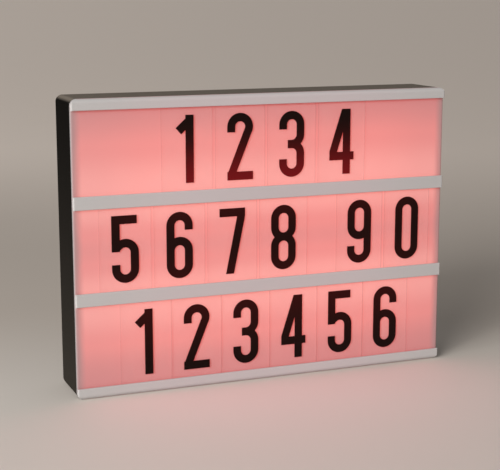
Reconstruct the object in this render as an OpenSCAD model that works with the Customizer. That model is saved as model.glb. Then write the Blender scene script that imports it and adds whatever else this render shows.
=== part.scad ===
// Cinema light box: a lit letter board with three rows of clear tiles that slide along white rails.
// Millimetres. X runs to the right, +Y to the back, +Z up. The origin is on the ground under the
// middle of the box. A depth called "d" is counted from the front of the rails towards the back.

/* [Box] */
// Width of the box
box_w = 300; // [286:1:420]
// Height of the box
box_h = 220; // [205:1:300]
// Depth from the front of the rails to the back of the case
box_d = 50; // [42:1:60]
// Radius of the outline's corners and of the case's back edge
corner_r = 5; // [3:0.5:8]
// Thickness of the case's side walls
wall_t = 2.2; // [1.6:0.1:2.8]
// Thickness of the case's back wall
back_t = 2.4; // [2:0.1:3.2]

/* [Front panel] */
// Thickness of the opal front panel
panel_t = 2; // [1.6:0.1:3]
// Radius of the panel's upright front edges
panel_edge_r = 1.2; // [0.4:0.1:1.5]
// Depth of the tabs that locate the panel in the case
tab_depth = 6; // [4:0.5:9]
// Length of each locating tab
tab_l = 28; // [16:1:32]
// Thickness of each locating tab
tab_t = 1.6; // [1.2:0.1:2.4]

/* [Rails] */
// Height of the two middle rails
rail_h = 9.8; // [8:0.1:13]
// Height of the top and bottom rails
edge_rail_h = 8.3; // [7.5:0.1:12]
// Thickness of the lips that hold the tiles
lip_t = 1.3; // [1.1:0.1:2]
// Height of the lip that stands over a tile's edge
lip_over = 2.5; // [1.5:0.1:2.8]
// Depth of the channel behind the lips
channel_d = 1.2; // [1:0.1:2]
// Radius of the rails' front edges
rail_edge_r = 0.5; // [0.2:0.1:0.6]
// Radius of the outer edge of the top and bottom rails
outer_edge_r = 3.2; // [2.6:0.1:4.5]
// Radius of the upright front edges at the rails' ends
rail_end_r = 1; // [0.4:0.1:2]
// Diameter of the staked pegs behind the rails
peg_dia = 2.4; // [1.6:0.1:2.8]
// Diameter of the pegs' flattened heads
peg_head_dia = 4; // [3:0.1:4.4]
// Thickness of the pegs' flattened heads
peg_head_t = 0.8; // [0.5:0.1:1]

/* [Letter tiles] */
// Width of a tile
tile_w = 39.3; // [34:0.1:40]
// Thickness of a tile
tile_t = 0.6; // [0.3:0.1:0.8]
// Radius of a tile's corners
tile_corner_r = 1.5; // [0.5:0.1:4]
// Gap between the tiles of the top row
top_gap = 2.4; // [0.3:0.1:3]
// Middle of the top row's tiles, from the middle of the box
top_shift = -1.2; // [-8:0.1:8]
// Gap between the tiles of the middle row
middle_gap = 2.4; // [0.3:0.1:3]
// Gap between the two groups of tiles in the middle row
group_gap = 25; // [10:0.1:26]
// Middle of the middle row's tiles, from the middle of the box
middle_shift = 3.7; // [-8:0.1:8]
// Gap between the tiles of the bottom row
bottom_gap = 0.4; // [0.3:0.1:2]
// Middle of the bottom row's tiles, from the middle of the box
bottom_shift = 2.2; // [-8:0.1:8]

/* [Case screws] */
// Distance of the case screws from the box's sides
column_inset = 11; // [10:0.5:13]
// Diameter of the case's screw columns
column_dia = 9.2; // [8.8:0.1:10]
// Diameter of the panel's screw bosses
boss_dia = 7; // [5:0.1:8]
// Length of the panel's screw bosses
boss_l = 12; // [10:0.5:14]
// Diameter of a case screw's shank
screw_dia = 2.8; // [2.2:0.1:3.2]
// Length of a case screw's shank
screw_l = 10; // [7:0.5:10]
// Diameter of a case screw's head
screw_head_dia = 5.6; // [4.6:0.1:6]
// Thickness of a case screw's head
screw_head_t = 2; // [1.4:0.1:2.6]
// Thickness of the shelf under a case screw's head
shelf_t = 2.5; // [1.8:0.1:4]

/* [Batteries] */
// Diameter of a cell
cell_dia = 14.5; // [10:0.1:15]
// Length of a cell with its button
cell_l = 50.5; // [44:0.1:51]
// Gap between two rows of cells
cell_gap = 0.6; // [0.4:0.1:1.2]
// Room for the contact spring at a cell's flat end
spring_room = 5; // [4:0.1:6]
// Room for the contact plate at a cell's button end
plate_room = 1; // [0.8:0.1:2]
// Thickness of the battery bay's walls
bay_wall_t = 1.6; // [1.2:0.1:2.2]
// Thickness of the wall between the two stacks of cells
divider_t = 2; // [1.4:0.1:4]
// Thickness of a contact plate
contact_t = 0.4; // [0.2:0.1:0.6]
// Diameter of a contact spring's wire
spring_wire = 0.7; // [0.4:0.1:0.7]

/* [Battery door] */
// Width of the ledge that the door rests on
ledge_w = 2; // [1.5:0.1:2.6]
// Thickness of the battery door
door_t = 2; // [1.6:0.1:2.2]
// Diameter of the door's hinge pins
pintle_dia = 1.4; // [1:0.1:1.6]
// Length of the door's hinge pins
pintle_l = 1.2; // [0.8:0.1:1.4]
// Width of the door's latch tongue
latch_w = 15; // [10:0.5:24]
// Length of the door's latch tongue
latch_l = 10; // [8:0.5:14]

/* [Lamps] */
// Lamps on each board
lamps = 9; // [4:1:9]
// Distance between two lamps
lamp_pitch = 28; // [16:0.5:28]
// Side of a lamp
lamp_side = 5; // [3:0.1:5.5]
// Thickness of a lamp
lamp_t = 1.5; // [0.8:0.1:2.5]
// Height of a lamp board
lamp_board_h = 8; // [6.5:0.5:9]
// Thickness of a lamp board
lamp_board_t = 1; // [0.6:0.1:1.6]
// Thickness of the white reflector
reflector_t = 0.6; // [0.3:0.1:1]

/* [Controls] */
// Distance of the control board's middle from the box's right side
board_inset = 33; // [32:0.5:40]
// Width of the control board
board_w = 52; // [50:0.5:54]
// Height of the control board
board_h = 28; // [27:0.5:32]
// Thickness of the control board
board_t = 1.6; // [1:0.1:2]
// Depth of the dish that the switch and button stand in
dish_depth = 1.6; // [1.3:0.1:2]
// Thickness of the dish's floor
dish_floor_t = 1.6; // [1.2:0.1:2.2]
// Width of the dish
dish_w = 36; // [34:0.5:38]
// Height of the dish
dish_h = 14; // [12:0.5:16]
// Length of the power switch's body
switch_l = 13; // [12:0.1:14]
// Height of the power switch's body
switch_h = 6.6; // [5.5:0.1:8]
// Depth of the power switch's body
switch_d = 5; // [4:0.1:6]
// Length of the power switch's knob
knob_l = 5; // [4:0.1:6]
// Height of the power switch's knob
knob_h = 3.6; // [3:0.1:4.5]
// Travel of the power switch's knob
knob_travel = 3; // [2:0.1:3.2]
// Diameter of the colour button
button_dia = 7; // [5:0.1:8]
// Travel of the colour button
button_travel = 0.5; // [0.3:0.1:0.7]
// Distance of the switch and of the button from the dish's middle
control_x = 9; // [8.5:0.1:10]

/* [Power inlet] */
// Diameter of the inlet's nose
inlet_nose_dia = 8.6; // [8:0.1:10]
// Bore of the inlet
inlet_bore_dia = 6.3; // [5.6:0.1:6.6]
// Depth of the inlet's bore
inlet_bore_l = 9.5; // [8:0.1:10]
// Diameter of the inlet's middle pin
inlet_pin_dia = 2; // [1.6:0.1:2.5]

/* [Wall hooks] */
// Distance between the two keyholes
keyhole_pitch = 200; // [120:1:220]
// Distance of the keyholes from the top of the box
keyhole_drop = 34; // [30:1:56]
// Diameter of a keyhole's round hole
keyhole_dia = 8; // [7:0.1:9]
// Width of a keyhole's slot
keyhole_slot_w = 4.4; // [3.5:0.1:5]
// Rise of a keyhole's slot above its round hole
keyhole_rise = 8; // [6:0.1:10]
// Depth of the room behind a keyhole
keyhole_room_d = 5; // [4:0.1:7]

/* [Clearances] */
// Gap between a moving piece and what it moves in
play = 0.3; // [0.25:0.01:0.35]
// Gap between two fixed pieces that fit in each other
fit = 0.1; // [0.05:0.01:0.2]

/* [Hidden] */
$fn = 48;
eps = 0.01;      // how far a cut runs past the face that it opens

// ---- depths ----
panel_front = lip_t + channel_d;
panel_back = panel_front + panel_t;
back_inner = box_d - back_t;
function y_at(d) = d - box_d / 2;
function point(x, d, z) = [x, y_at(d), z];
function blend(a, b, t) = a + (b - a) * t;

// ---- rows ----
top = 0;
middle = 1;
bottom = 2;
rows = [top, middle, bottom];
window_h = (box_h - 2 * edge_rail_h - 2 * rail_h) / 3;
function window_z(row) = edge_rail_h + (bottom - row) * (window_h + rail_h);  // a window's lower edge
function rail_z(row) = window_z(row) - rail_h / 2;    // middle of the rail under a row
peg_pitch = box_w / 5;
peg_xs = [for (i = [-2:2]) i * peg_pitch];
tab_xs = [for (i = [-2:1]) (i + 0.5) * peg_pitch];
edge_web_h = edge_rail_h - lip_over;                  // the solid part of the top and bottom rails
peg_zs = [edge_web_h / 2, rail_z(middle), rail_z(top), box_h - edge_web_h / 2];

// ---- tiles ----
row_names = ["top", "middle", "bottom"];
row_tiles = [4, 6, 6];
first_group = 4;                                      // tiles of the middle row's first group
row_gap = [top_gap, middle_gap, bottom_gap];
row_shift = [top_shift, middle_shift, bottom_shift];
extra_gap = [0, group_gap - middle_gap, 0];           // what the middle row's wide gap adds
function tile_pitch(row) = tile_w + row_gap[row];
function row_span(row) = row_tiles[row] * tile_pitch(row) - row_gap[row] + extra_gap[row];
function tile_x(row, i) = row_shift[row] - row_span(row) / 2 + tile_w / 2 + i * tile_pitch(row)
    + (i < first_group ? 0 : extra_gap[row]);         // middle of a tile
function tile_name(row, i) = str("tile_", row_names[row], "_", i + 1);
tile_h = window_h + 2 * lip_over - 2 * play;
tile_d = lip_t + (channel_d - tile_t) / 2;

// ---- case screws ----
column_d = panel_back + boss_l + fit;                 // where a column meets its boss
screw_d = column_d + shelf_t;                         // under a case screw's head
screw_hole_dia = screw_dia + 0.5;
screw_head_hole_dia = screw_head_dia + 0.8;
column_rib_t = 1.4;
columns = [for (side = [-1, 1], z = [column_inset, box_h / 2, box_h - column_inset])
    [side * (box_w / 2 - column_inset), z]];

// ---- battery bay ----
cell_rows = 3;
stacks = [-1, 1];                                     // the left and right stacks of cells
stack_l = cell_l + spring_room + plate_room;
bay_w = 2 * stack_l + divider_t;
bay_h = cell_rows * (cell_dia + cell_gap) - cell_gap + 2 * play;
bay_z = window_z(bottom) + window_h / 2;
bay_wall_x = bay_w / 2 + bay_wall_t;
door_d = box_d - door_t;                              // the door's inner face
cell_d = door_d - 2 * play - cell_dia / 2;            // the cells' middle
bay_floor_d = cell_d - cell_dia / 2 - play;
bay_front_d = bay_floor_d - bay_wall_t;
cradle_h = 4;
cradle_w = 4;
function cell_z(row) = bay_z + (row - 1) * (cell_dia + cell_gap);
function stack_end(stack, side) = stack * (divider_t + stack_l) / 2 + side * stack_l / 2;
function button_side(row) = row % 2 == 0 ? 1 : -1;    // the rows of cells lie head to tail
button_l = 1;
button_dia_of_cell = 5.5;
cell_edge_r = 0.6;
contact_side = 9.5;
spring_turns = 3;
spring_rings = 8;                                     // rings to a turn
spring_sides = 6;
spring_wide_r = 4.4;
spring_narrow_r = 3;
spring_l = spring_room + plate_room - 2 * contact_t - 2 * fit;
spring_path = [for (i = [0:spring_turns * spring_rings])
    let (t = i / (spring_turns * spring_rings), turn = 360 * i / spring_rings,
        r = blend(spring_wide_r, spring_narrow_r, t))
    [spring_wire / 2 + t * (spring_l - spring_wire), r * cos(turn), r * sin(turn)]];
spring_gap = min([for (i = [0:len(spring_path) - 1], k = [i + spring_rings / 2:1:len(spring_path) - 1])
    norm(spring_path[i] - spring_path[k])]) - spring_wire;
echo(str("Least gap of a contact spring to itself: ", spring_gap, " mm"));

// ---- battery door ----
door_w = bay_w + 2 * ledge_w;
door_h = bay_h + 2 * ledge_w;
door_corner_r = 1.5;
rim_t = 2;                                            // wall of the recess for the door
rim_d = door_d - 2;
rim_w = door_w + 2 * (play + rim_t);
rim_h = door_h + 2 * (play + rim_t);
hinge_r = door_t;                                     // round edge of the door
hinge_d = door_d;
hinge_z = bay_z - door_h / 2 + hinge_r;
slit_w = 0.8;                                         // slits beside the latch tongue
grip_w = 0.8;
grips = 4;
detent_r = 0.2;
scoop_depth = 1.2;                                    // finger scoop above the latch

// ---- lamps ----
lamp_board_w = lamps * lamp_pitch;
lamp_board_d = back_inner - reflector_t - lamp_board_t;
reflector_z = bay_z + rim_h / 2 + 0.5;                // lower edge of the reflector
reflector_inset = corner_r + play;

// ---- controls ----
board_x = box_w / 2 - board_inset;
board_z = bay_z;
dish_inner_d = box_d - dish_depth - dish_floor_t;     // inside of the dish's floor
dish_wall_t = 1.6;
dish_corner_r = 3;
board_d = dish_inner_d - play - switch_d;             // the board's back face
board_front_d = board_d - board_t;
switch_x = board_x - control_x;
button_x = board_x + control_x;
knob_x = switch_x + knob_travel / 2;                  // the knob rests at its "on" end
knob_foot_l = knob_l - 2;
knob_foot_h = 2;
knob_foot_depth = 1.6;
knob_tip_d = box_d - 0.3;
knob_groove_w = 0.6;
flange_t = 0.5;                                       // flange that keeps the button in the case
flange_over = 1;
flange_d = dish_inner_d - 0.2 - flange_t;
plunger_dia = 3.4;
plunger_t = 0.6;
tact_side = 6;
tact_d = flange_d - 0.1 - button_travel - plunger_t;  // top of the button's switch
post_dia = 5;
post_inset = 4;
post_screw_dia = 2;
post_screw_l = 5;
post_screw_head_dia = 4;
post_screw_head_t = 1.4;
posts = [for (corner = [[-1, 1], [1, 1], [-1, -1]])
    [board_x + corner[0] * (board_w / 2 - post_inset), board_z + corner[1] * (board_h / 2 - post_inset)]];

// ---- pieces on the control board's front ----
chip = [6, 5, 1.6];
chip_place = [-9, -4];
chip_leg = [0.4, 1.2, 0.5];
chip_leg_pitch = 1.27;
capacitor_dia = 6.3;
capacitor_l = 7.7;
capacitor_place = [7, 6];
socket = [6, 7.6, 6];                                 // depth into the board, breadth, height off it
battery_socket_x = board_x - board_w / 2 + 2.5;       // its left face
lamp_socket_z = board_z + board_h / 2 - 1;            // its upper face
lamp_socket_x = board_x - 5;
socket_d = board_front_d - socket[2] / 2;             // middle of the sockets' mouths
socket_wall_t = 0.8;

// ---- power inlet ----
inlet_body = [13, 10.6, 9.4];                         // length, depth and height
inlet_z = board_z - board_h / 2 + 9;
inlet_d = board_front_d - inlet_body[1] / 2;
inlet_x = box_w / 2 - wall_t - fit;                   // shoulder of the inlet, inside the wall
inlet_nose_x = box_w / 2 - 0.2;                       // face of the inlet's nose

// ---- keyholes ----
keyhole_z = box_h - keyhole_drop;
keyhole_wall_t = 1.4;
keyhole_room_w = keyhole_dia + 3;                     // room for a screw's head

// ---- leads ----
lead_dia = 1.3;
lead_sides = 8;
lead_pitch = 2.5;                                     // between the two leads of a pair
lead_rings = 10;                                      // rings of a curved stretch
lead_lie_d = back_inner - reflector_t - lead_dia / 2; // a lead that lies on the reflector
lead_cross_d = bay_front_d - lead_dia / 2;            // a lead that lies on the battery bay
function ease(t) = t * t * (3 - 2 * t);
// An even S between two points: straight along X, or along Z, at both ends.
function s_along_x(a, b) = [for (i = [0:lead_rings]) let (t = i / lead_rings)
    [blend(a[0], b[0], t), blend(a[1], b[1], ease(t)), blend(a[2], b[2], ease(t))]];
function s_along_z(a, b) = [for (i = [0:lead_rings]) let (t = i / lead_rings)
    [blend(a[0], b[0], ease(t)), blend(a[1], b[1], ease(t)), blend(a[2], b[2], t)]];
turn_r = (cell_d - lead_cross_d) / 2;                 // bend round the end of the bay
// The first lead ends at the right-hand contact of the lowest cells.
near_lead = s_along_x(
    point(battery_socket_x, socket_d, board_z - lead_pitch / 2),
    point(bay_w / 2 + fit, cell_d, cell_z(0)));
// The second crosses in front of the bay, bends round its left end and meets the uppermost cells.
far_lead = concat(
    s_along_x(
        point(battery_socket_x, socket_d, board_z + lead_pitch / 2),
        point(bay_wall_x, lead_cross_d, cell_z(cell_rows - 1))),
    [for (i = [0:lead_rings]) let (a = 180 * i / lead_rings)
        point(-bay_wall_x - turn_r * sin(a), cell_d - turn_r - turn_r * cos(a), cell_z(cell_rows - 1))],
    [point(-bay_w / 2 - fit, cell_d, cell_z(cell_rows - 1))]);
// A pair rises from its socket to the lower lamp board.
lamp_lead_xs = [for (side = [-1, 1]) lamp_socket_x + side * lead_pitch / 2];
function lamp_lead(x) = s_along_z(
    point(x, socket_d, lamp_socket_z),
    point(x, lead_lie_d, rail_z(middle) - lamp_board_h / 2));

// ---- building blocks ----

// A flat shape drawn in X and Z, made as thick as the depths from d0 to d1.
module slab(d0, d1) {
    translate([0, y_at(d1), 0]) rotate([90, 0, 0]) linear_extrude(d1 - d0) children();
}

// A section drawn in depth and Z, run along X from x0 to x1.
module run_across(x0, x1) {
    translate([x0, y_at(0), 0]) rotate([90, 0, 90]) linear_extrude(x1 - x0) children();
}

// A block given by its middle in X and Z, its width and height, and its two depths.
module block(x, z, w, h, d0, d1) {
    translate([x - w / 2, y_at(d0), z - h / 2]) cube([w, d1 - d0, h]);
}

// A round rod that runs front to back.
module rod(x, z, dia, d0, d1) {
    translate([x, y_at(d1), z]) rotate([90, 0, 0]) cylinder(h = d1 - d0, d = dia);
}

// A round rod that runs along X.
module cross_rod(x0, x1, d, z, dia) {
    translate([x0, y_at(d), z]) rotate([0, 90, 0]) cylinder(h = x1 - x0, d = dia);
}

// A rectangle with round corners, round its own middle.
module round_rect(w, h, r) {
    square([w - 2 * r, h], center = true);
    square([w, h - 2 * r], center = true);
    for (x = [-1, 1], y = [-1, 1])
        translate([x * (w / 2 - r), y * (h / 2 - r)]) circle(r);
}

// The box's outline, drawn in by an inset.
module outline(inset = 0) {
    translate([0, box_h / 2])
        round_rect(box_w - 2 * inset, box_h - 2 * inset, max(corner_r - inset, 0.5));
}

// A plan of the full width whose two front corners are round, run up the whole height.
module round_fronted(d0, d1, r) {
    translate([0, y_at(d0), 0]) linear_extrude(box_h) {
        translate([-box_w / 2, r]) square([box_w, d1 - d0 - r]);
        translate([-box_w / 2 + r, 0]) square([box_w - 2 * r, d1 - d0]);
        for (x = [-1, 1]) translate([x * (box_w / 2 - r), r]) circle(r);
    }
}

// A round tube along a list of points, with a ring of corners square to the way at each point.
// The reference is a direction that the way never takes.
function unit(v) = v / norm(v);
function way(path, i) = unit(path[min(i + 1, len(path) - 1)] - path[max(i - 1, 0)]);
module tube(path, dia, sides, reference) {
    count = len(path);
    points = [for (i = [0:count - 1])
        let (along = way(path, i), a = unit(cross(reference, along)), b = cross(along, a))
        for (k = [0:sides - 1]) let (turn = 360 * k / sides)
            path[i] + dia / 2 * (cos(turn) * a + sin(turn) * b)];
    walls = [for (i = [0:count - 2], k = [0:sides - 1])
        let (here = i * sides + k, next = i * sides + (k + 1) % sides)
        each [[here, here + sides, next + sides], [here, next + sides, next]]];
    first_cap = [for (k = [1:sides - 2]) [0, k, k + 1]];
    last = (count - 1) * sides;
    last_cap = [for (k = [1:sides - 2]) [last, last + k + 1, last + k]];
    polyhedron(points, concat(walls, first_cap, last_cap));
}

// ---- case ----

// The case's rounded form, drawn in by an inset, from the depth d0 to the depth d1.
module case_form(inset, d0, d1) {
    r = max(corner_r - inset, 0.5);
    x = box_w / 2 - inset - r;
    low = inset + r;
    high = box_h - inset - r;
    slab(d0, d1 - r) outline(inset);
    slab(d0, d1) translate([0, box_h / 2]) square([2 * x, high - low], center = true);
    for (z = [low, high]) cross_rod(-x, x, d1 - r, z, 2 * r);
    for (side = [-1, 1]) translate([side * x, y_at(d1 - r), low]) {
        cylinder(h = high - low, r = r);
        sphere(r);
        translate([0, 0, high - low]) sphere(r);
    }
}

module column_solids() {
    for (c = columns) {
        side = sign(c[0]);
        rod(c[0], c[1], column_dia, column_d, back_inner + 1);
        block(side * (box_w / 2 - (column_inset + wall_t) / 2), c[1], column_inset - wall_t + 1,
            column_rib_t, column_d + shelf_t, back_inner + 1);
    }
}

module column_cuts() {
    for (c = columns) {
        rod(c[0], c[1], screw_hole_dia, column_d - eps, screw_d + eps);
        rod(c[0], c[1], screw_head_hole_dia, screw_d, box_d + eps);
    }
}

module bay_solids() {
    block(0, bay_z, 2 * bay_wall_x, bay_h + 2 * bay_wall_t, bay_front_d, back_inner + 1);
    block(0, bay_z, rim_w, rim_h, rim_d, box_d - 0.5);
    hinge_block_h = rim_t + play + ledge_w;
    block(0, bay_z - rim_h / 2 + hinge_block_h / 2, rim_w, hinge_block_h,
        hinge_d - hinge_r - play - rim_t, box_d - 0.5);
}

// Low ribs across the bay's floor, hollowed to fit the cells.
module cradles() {
    difference() {
        for (stack = stacks, place = [-1, 1])
            block(stack_end(stack, 0) + place * cell_l / 4, bay_z, cradle_w, bay_h + eps,
                bay_floor_d - eps, bay_floor_d + cradle_h);
        for (row = [0:cell_rows - 1])
            cross_rod(-bay_w / 2, bay_w / 2, cell_d, cell_z(row), cell_dia + 2 * play);
    }
}

module door_recess() {
    slab(door_d, box_d + eps) translate([0, bay_z]) {
        round_rect(door_w + 2 * play, door_h + 2 * play, door_corner_r + play);
        translate([0, -door_h / 4 - play / 2])
            square([door_w + 2 * play, door_h / 2 + play], center = true);
    }
    cross_rod(-door_w / 2 - play, door_w / 2 + play, hinge_d, hinge_z, 2 * (hinge_r + play));
    pin_reach = door_w / 2 + pintle_l + play;
    cross_rod(-pin_reach, pin_reach, hinge_d, hinge_z, pintle_dia + 2 * play);
    rod(0, bay_z + door_h / 2 + play, latch_w, box_d - scoop_depth, box_d + eps);
}

module bay_cuts() {
    for (stack = stacks)
        block(stack_end(stack, 0), bay_z, stack_l, bay_h, bay_floor_d, door_d + eps);
    cross_rod(bay_w / 2 - eps, bay_wall_x + eps, cell_d, cell_z(0), lead_dia + 2 * fit);
    cross_rod(-bay_wall_x - eps, -bay_w / 2 + eps, cell_d, cell_z(cell_rows - 1), lead_dia + 2 * fit);
    door_recess();
}

module dish_solids() {
    slab(dish_inner_d, box_d - 0.5) translate([board_x, board_z])
        round_rect(dish_w + 2 * dish_wall_t, dish_h + 2 * dish_wall_t, dish_corner_r + dish_wall_t);
    for (p = posts) rod(p[0], p[1], post_dia, board_d, back_inner + 1);
}

module dish_cuts() {
    slab(box_d - dish_depth, box_d + eps) translate([board_x, board_z])
        round_rect(dish_w, dish_h, dish_corner_r);
    block(switch_x, board_z, knob_l + knob_travel + 2 * play, knob_h + 2 * play,
        dish_inner_d - eps, box_d);
    rod(button_x, board_z, button_dia + 2 * play, dish_inner_d - eps, box_d);
    for (p = posts)
        rod(p[0], p[1], post_screw_dia + 2 * fit, board_d - eps, board_front_d + post_screw_l + 0.5);
}

// The room behind a keyhole, grown by a wall.
module keyhole_room(side, wall, d0, d1) {
    block(side * keyhole_pitch / 2, keyhole_z + keyhole_rise / 2, keyhole_room_w + 2 * wall,
        keyhole_room_w + keyhole_rise + 2 * wall, d0, d1);
}

module keyhole_cut(side) {
    keyhole_room(side, 0, back_inner - keyhole_room_d, back_inner + eps);
    slab(back_inner, box_d + eps) translate([side * keyhole_pitch / 2, keyhole_z]) {
        circle(d = keyhole_dia);
        translate([-keyhole_slot_w / 2, 0]) square([keyhole_slot_w, keyhole_rise]);
        translate([0, keyhole_rise]) circle(d = keyhole_slot_w);
    }
}

module rear_case() {
    color("#1b1917") difference() {
        union() {
            difference() {
                case_form(0, panel_back, box_d);
                case_form(wall_t, panel_back - eps, back_inner);
            }
            column_solids();
            bay_solids();
            dish_solids();
            for (side = [-1, 1])
                keyhole_room(side, keyhole_wall_t, back_inner - keyhole_room_d - keyhole_wall_t,
                    back_inner + 1);
        }
        column_cuts();
        bay_cuts();
        dish_cuts();
        for (side = [-1, 1]) keyhole_cut(side);
        cross_rod(box_w / 2 - wall_t - eps, box_w / 2 + eps, inlet_d, inlet_z, inlet_nose_dia + 2 * fit);
    }
    color("#1b1917") cradles();
}

// ---- front panel and rails ----

// Tabs behind the panel, which fit inside the case's walls.
module panel_tabs() {
    reach = wall_t + play;
    for (x = tab_xs, z = [reach + tab_t / 2, box_h - reach - tab_t / 2])
        block(x, z, tab_l, tab_t, panel_back - eps, panel_back + tab_depth);
    for (side = [-1, 1], row = rows)
        block(side * (box_w / 2 - reach - tab_t / 2), window_z(row) + window_h / 2, tab_t, tab_l,
            panel_back - eps, panel_back + tab_depth);
}

module front_panel() {
    color("#f3b6ae") difference() {
        union() {
            intersection() {
                slab(panel_front, panel_back) outline();
                round_fronted(panel_front, panel_back, panel_edge_r);
            }
            panel_tabs();
            for (c = columns) rod(c[0], c[1], boss_dia, panel_back - eps, panel_back + boss_l);
        }
        for (c = columns)
            rod(c[0], c[1], screw_dia + 2 * fit, screw_d - screw_l - 1, panel_back + boss_l + eps);
        for (x = peg_xs, z = peg_zs) {
            rod(x, z, peg_dia + 2 * fit, panel_front - eps, panel_back + eps);
            rod(x, z, peg_head_dia + 2 * fit, panel_back - 2 * fit - peg_head_t, panel_back + eps);
        }
    }
}

// Pegs that pass through the panel and are flattened behind it.
module pegs(z) {
    for (x = peg_xs) {
        rod(x, z, peg_dia, panel_front - channel_d / 2, panel_back - fit);
        rod(x, z, peg_head_dia, panel_back - fit - peg_head_t, panel_back - fit);
    }
}

// The lip's section, from the height z0 up, with round front edges.
module lip_section(z0, h) {
    r = rail_edge_r;
    translate([r, z0]) square([lip_t - r, h]);
    translate([0, z0 + r]) square([lip_t, h - 2 * r]);
    for (z = [z0 + r, z0 + h - r]) translate([r, z]) circle(r);
}

module middle_rail(z) {
    color("#e6dedb") intersection() {
        union() {
            run_across(-box_w / 2, box_w / 2) {
                lip_section(z - rail_h / 2, rail_h);
                translate([lip_t / 2, z - rail_h / 2 + lip_over])
                    square([panel_front - lip_t / 2, rail_h - 2 * lip_over]);
            }
            pegs(z);
        }
        round_fronted(0, panel_back, rail_end_r);
    }
}

module edge_section() {
    intersection() {
        union() {
            lip_section(0, edge_rail_h);
            square([panel_front, edge_web_h]);
        }
        union() {
            translate([0, outer_edge_r]) square([panel_front, edge_rail_h]);
            translate([outer_edge_r, outer_edge_r]) circle(outer_edge_r);
        }
    }
}

module bottom_edge_rail() {
    intersection() {
        union() {
            run_across(-box_w / 2, box_w / 2) edge_section();
            pegs(peg_zs[0]);
        }
        slab(0, panel_back) outline();
        round_fronted(0, panel_back, rail_end_r);
    }
}

module rail_bottom() {
    color("#e6dedb") bottom_edge_rail();
}

module rail_top() {
    color("#e6dedb") translate([0, 0, box_h]) mirror([0, 0, 1]) bottom_edge_rail();
}

module rail_upper() {
    middle_rail(rail_z(top));
}

module rail_lower() {
    middle_rail(rail_z(middle));
}

// ---- letter tiles ----

module tile(row, i) {
    color("#f7dcd8", 0.5) slab(tile_d, tile_d + tile_t)
        translate([tile_x(row, i), window_z(row) + window_h / 2])
            round_rect(tile_w, tile_h, tile_corner_r);
}

// ---- lamps ----

module reflector_sheet() {
    h = box_h - reflector_inset - reflector_z;
    color("#f2f0ee") difference() {
        block(0, reflector_z + h / 2, box_w - 2 * reflector_inset, h, back_inner - reflector_t, back_inner);
        for (c = columns) {
            rod(c[0], c[1], column_dia + 2 * play, back_inner - 2 * reflector_t, back_inner + eps);
            block(sign(c[0]) * box_w / 2, c[1], 2 * column_inset, column_rib_t + 2 * play,
                back_inner - 2 * reflector_t, back_inner + eps);
        }
        for (side = [-1, 1])
            keyhole_room(side, keyhole_wall_t + play, back_inner - 2 * reflector_t, back_inner + eps);
    }
}

module lamp_board(z) {
    color("#f4f4f0") block(0, z, lamp_board_w, lamp_board_h, lamp_board_d, lamp_board_d + lamp_board_t);
}

module lamp_line(z) {
    color("#fff3c4") for (i = [0:lamps - 1])
        block((i - (lamps - 1) / 2) * lamp_pitch, z, lamp_side, lamp_side,
            lamp_board_d - lamp_t, lamp_board_d);
}

module lamp_board_upper() {
    lamp_board(rail_z(top));
}

module lamp_board_lower() {
    lamp_board(rail_z(middle));
}

module lamps_upper() {
    lamp_line(rail_z(top));
}

module lamps_lower() {
    lamp_line(rail_z(middle));
}

// ---- control board and what stands on it ----

module control_board() {
    color("#1f6b45") difference() {
        block(board_x, board_z, board_w, board_h, board_front_d, board_d);
        for (p = posts)
            rod(p[0], p[1], post_screw_dia + 0.4, board_front_d - eps, board_d + eps);
    }
}

module driver_chip() {
    color("#26262a") translate([board_x + chip_place[0], y_at(board_front_d), board_z + chip_place[1]]) {
        translate([-chip[0] / 2, -chip[2], -chip[1] / 2]) cube([chip[0], chip[2], chip[1]]);
        for (i = [-1.5:1.5], side = [-1, 1])
            translate([i * chip_leg_pitch - chip_leg[0] / 2, -chip_leg[2],
                side * (chip[1] + chip_leg[1]) / 2 - chip_leg[1] / 2 - side * 0.1])
                cube([chip_leg[0], chip_leg[2], chip_leg[1]]);
    }
}

module smoothing_capacitor() {
    x = board_x + capacitor_place[0];
    z = board_z + capacitor_place[1];
    color("#34323a") {
        rod(x, z, capacitor_dia, board_front_d - capacitor_l, board_front_d - 1.6);
        rod(x, z, capacitor_dia - 0.6, board_front_d - 1.8, board_front_d - 1);
        rod(x, z, capacitor_dia, board_front_d - 1.2, board_front_d);
    }
}

// Sockets that the leads plug into: one opens to the left and one upwards.
module lead_sockets() {
    d0 = board_front_d - socket[2];
    color("#e9e4d6") {
        difference() {
            block(battery_socket_x + socket[0] / 2, board_z, socket[0], socket[1], d0, board_front_d);
            block(battery_socket_x, board_z, 2, socket[1] - 2 * socket_wall_t,
                d0 + socket_wall_t, board_front_d - socket_wall_t);
        }
        difference() {
            block(lamp_socket_x, lamp_socket_z - socket[0] / 2, socket[1], socket[0], d0, board_front_d);
            block(lamp_socket_x, lamp_socket_z, socket[1] - 2 * socket_wall_t, 2,
                d0 + socket_wall_t, board_front_d - socket_wall_t);
        }
    }
}

module power_switch_body() {
    color("#9b9b98") difference() {
        block(switch_x, board_z, switch_l, switch_h, board_d, board_d + switch_d);
        block(switch_x, board_z, knob_foot_l + knob_travel + 2 * play, knob_foot_h + 2 * play,
            board_d + switch_d - knob_foot_depth - play, board_d + switch_d + eps);
    }
}

module power_switch_knob() {
    cap_d = board_d + switch_d + 0.1;
    color("#0f0f10") difference() {
        union() {
            block(knob_x, board_z, knob_foot_l, knob_foot_h, board_d + switch_d - knob_foot_depth,
                cap_d + eps);
            slab(cap_d, knob_tip_d) translate([knob_x, board_z]) round_rect(knob_l, knob_h, 0.5);
        }
        for (place = [-1, 0, 1])
            block(knob_x + 2 * place * knob_groove_w, board_z, knob_groove_w, knob_h + eps,
                knob_tip_d - 0.4, knob_tip_d + eps);
    }
}

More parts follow.
